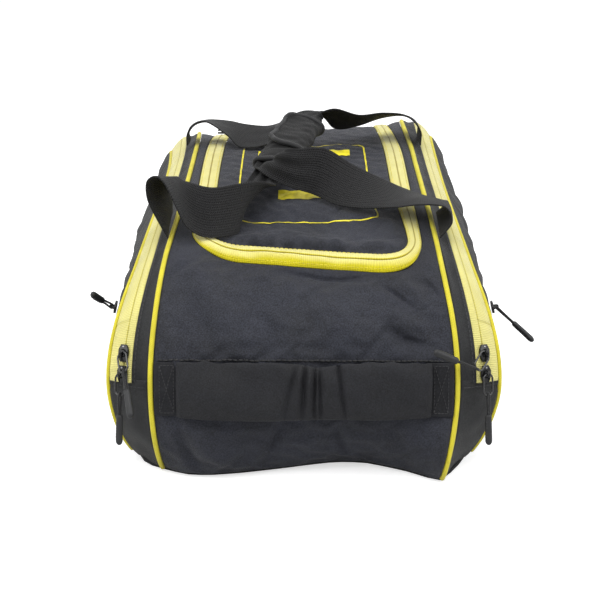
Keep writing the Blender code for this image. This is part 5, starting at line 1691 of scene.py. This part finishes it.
def make_sliders():
    for side, label in SIDES:
        low = -arc_at(LOWER_SLIDER_HEIGHT)
        for level, arc in (("upper", low + SLIDER_SPACING), ("lower", low)):
            point, normal = on_strip(arc, ZIP_LINE, side)
            ahead = on_strip(arc + 0.001, ZIP_LINE, side)[0] - point
            make_slider(f"{label}_{level}", slider_frame(point, ahead, normal))
        lift = TOUCH + POCKET_TAPE_THICKNESS
        point = Vector(flap(POCKET_SLIDER_Y, POCKET_HEIGHT, side, lift))
        normal = (Vector(flap(POCKET_SLIDER_Y, POCKET_HEIGHT, side, lift + 0.001)) - point).normalized()
        make_slider(f"{label}_pocket", slider_frame(point, Vector((0, 1, 0)), normal), False)
    y, z, out_y, out_z = (float(value) for value in profile(LID_SLIDER_REACH))
    ahead_y, ahead_z = (float(value) for value in profile(LID_SLIDER_REACH - 0.001)[:2])
    ahead = Vector((0, ahead_y - y, ahead_z - z))
    make_slider("lid", slider_frame(Vector((-LID_ZIP_HALF_WIDTH, y, z)), ahead, Vector((0, out_y, out_z))))


front_cloth = make_front()
make_rear()
make_lid()
make_pipings()
make_base()
for side, label in SIDES:
    make_arch(label, side)
    make_flap(label, side)
    make_lower_side(label, side)
    make_partition(label, side)
    make_handle(label, side)
make_grip("front", -1)
make_grip_seam_and_shadow(front_cloth)
make_grip("rear", 1)
make_wrap()
make_sliders()


# Camera, light and floor

camera_data = bpy.data.cameras.new("camera")
camera = add_object("camera", camera_data)
scene.camera = camera
FOCAL_PIXELS, IMAGE_PIXELS = 1450, 600
camera_data.sensor_width = 36.0
camera_data.lens = FOCAL_PIXELS / IMAGE_PIXELS * camera_data.sensor_width
camera_data.shift_x = -4 / IMAGE_PIXELS
camera_data.clip_start = 0.01
camera.location = (0.0, -1.51, 0.64)
camera.rotation_euler = (math.radians(90 - 21), 0, 0)


def area_light(name, place, aim, size, power):
    data = bpy.data.lights.new(name, "AREA")
    data.size, data.energy = size, power
    light = add_object(name, data)
    light.location = place
    light.rotation_euler = (Vector(aim) - Vector(place)).to_track_quat("-Z", "Y").to_euler()


area_light("main_softbox", (-0.2, -0.9, 1.9), (0, -0.1, 0.15), 1.6, 30)
area_light("overhead_softbox", (0.1, 0.5, 1.9), (0, 0, 0.15), 1.6, 10)
area_light("left_fill", (-1.7, -0.7, 1.0), (0, -0.1, 0.1), 1.2, 14)
area_light("right_fill", (1.7, -0.5, 1.1), (0, -0.1, 0.1), 1.2, 16)


def light_paths(tree):
    """1 for rays that show the white surroundings: seen directly, mirrored or through."""
    paths = tree.nodes.new("ShaderNodeLightPath")
    seen = maths(tree, "MAXIMUM", paths.outputs["Is Camera Ray"], paths.outputs["Is Transmission Ray"])
    return maths(tree, "MAXIMUM", seen, paths.outputs["Is Glossy Ray"]), paths.outputs["Is Camera Ray"]


world = bpy.data.worlds.new("white_studio")
scene.world = world
world.use_nodes = True
tree = world.node_tree
shown, _ = light_paths(tree)
strength = maths(tree, "ADD", maths(tree, "MULTIPLY", shown, 0.66), 0.34)
background = tree.nodes["Background"]
background.inputs[0].default_value = shaded(WHITE, 1.0)
tree.links.new(strength, background.inputs[1])

floor_mesh = mesh_of("floor", [(-6, -6, 0), (6, -6, 0), (6, 6, 0), (-6, 6, 0)], [(0, 1, 2, 3)])
floor_finish = bpy.data.materials.new("white_floor")
floor_finish.use_nodes = True
tree = floor_finish.node_tree
shader = tree.nodes["Principled BSDF"]
shader.inputs["Base Color"].default_value = shaded(WHITE, 0.8)
shader.inputs["Roughness"].default_value = 0.9
shader.inputs["Specular IOR Level"].default_value = 0.1
_, direct = light_paths(tree)
glow_strength = maths(tree, "MULTIPLY", direct, 0.62)
glow = add(tree, "ShaderNodeEmission", {"Color": shaded(WHITE, 1.0), "Strength": glow_strength})
both = add(tree, "ShaderNodeAddShader", {0: shader.outputs[0], 1: glow.outputs[0]})
tree.links.new(both.outputs[0], tree.nodes["Material Output"].inputs["Surface"])
floor = add_object("floor", floor_mesh, floor_finish)
floor.location.z = -0.0006

scene.view_settings.view_transform = "Standard"
bpy.context.view_layer.update()
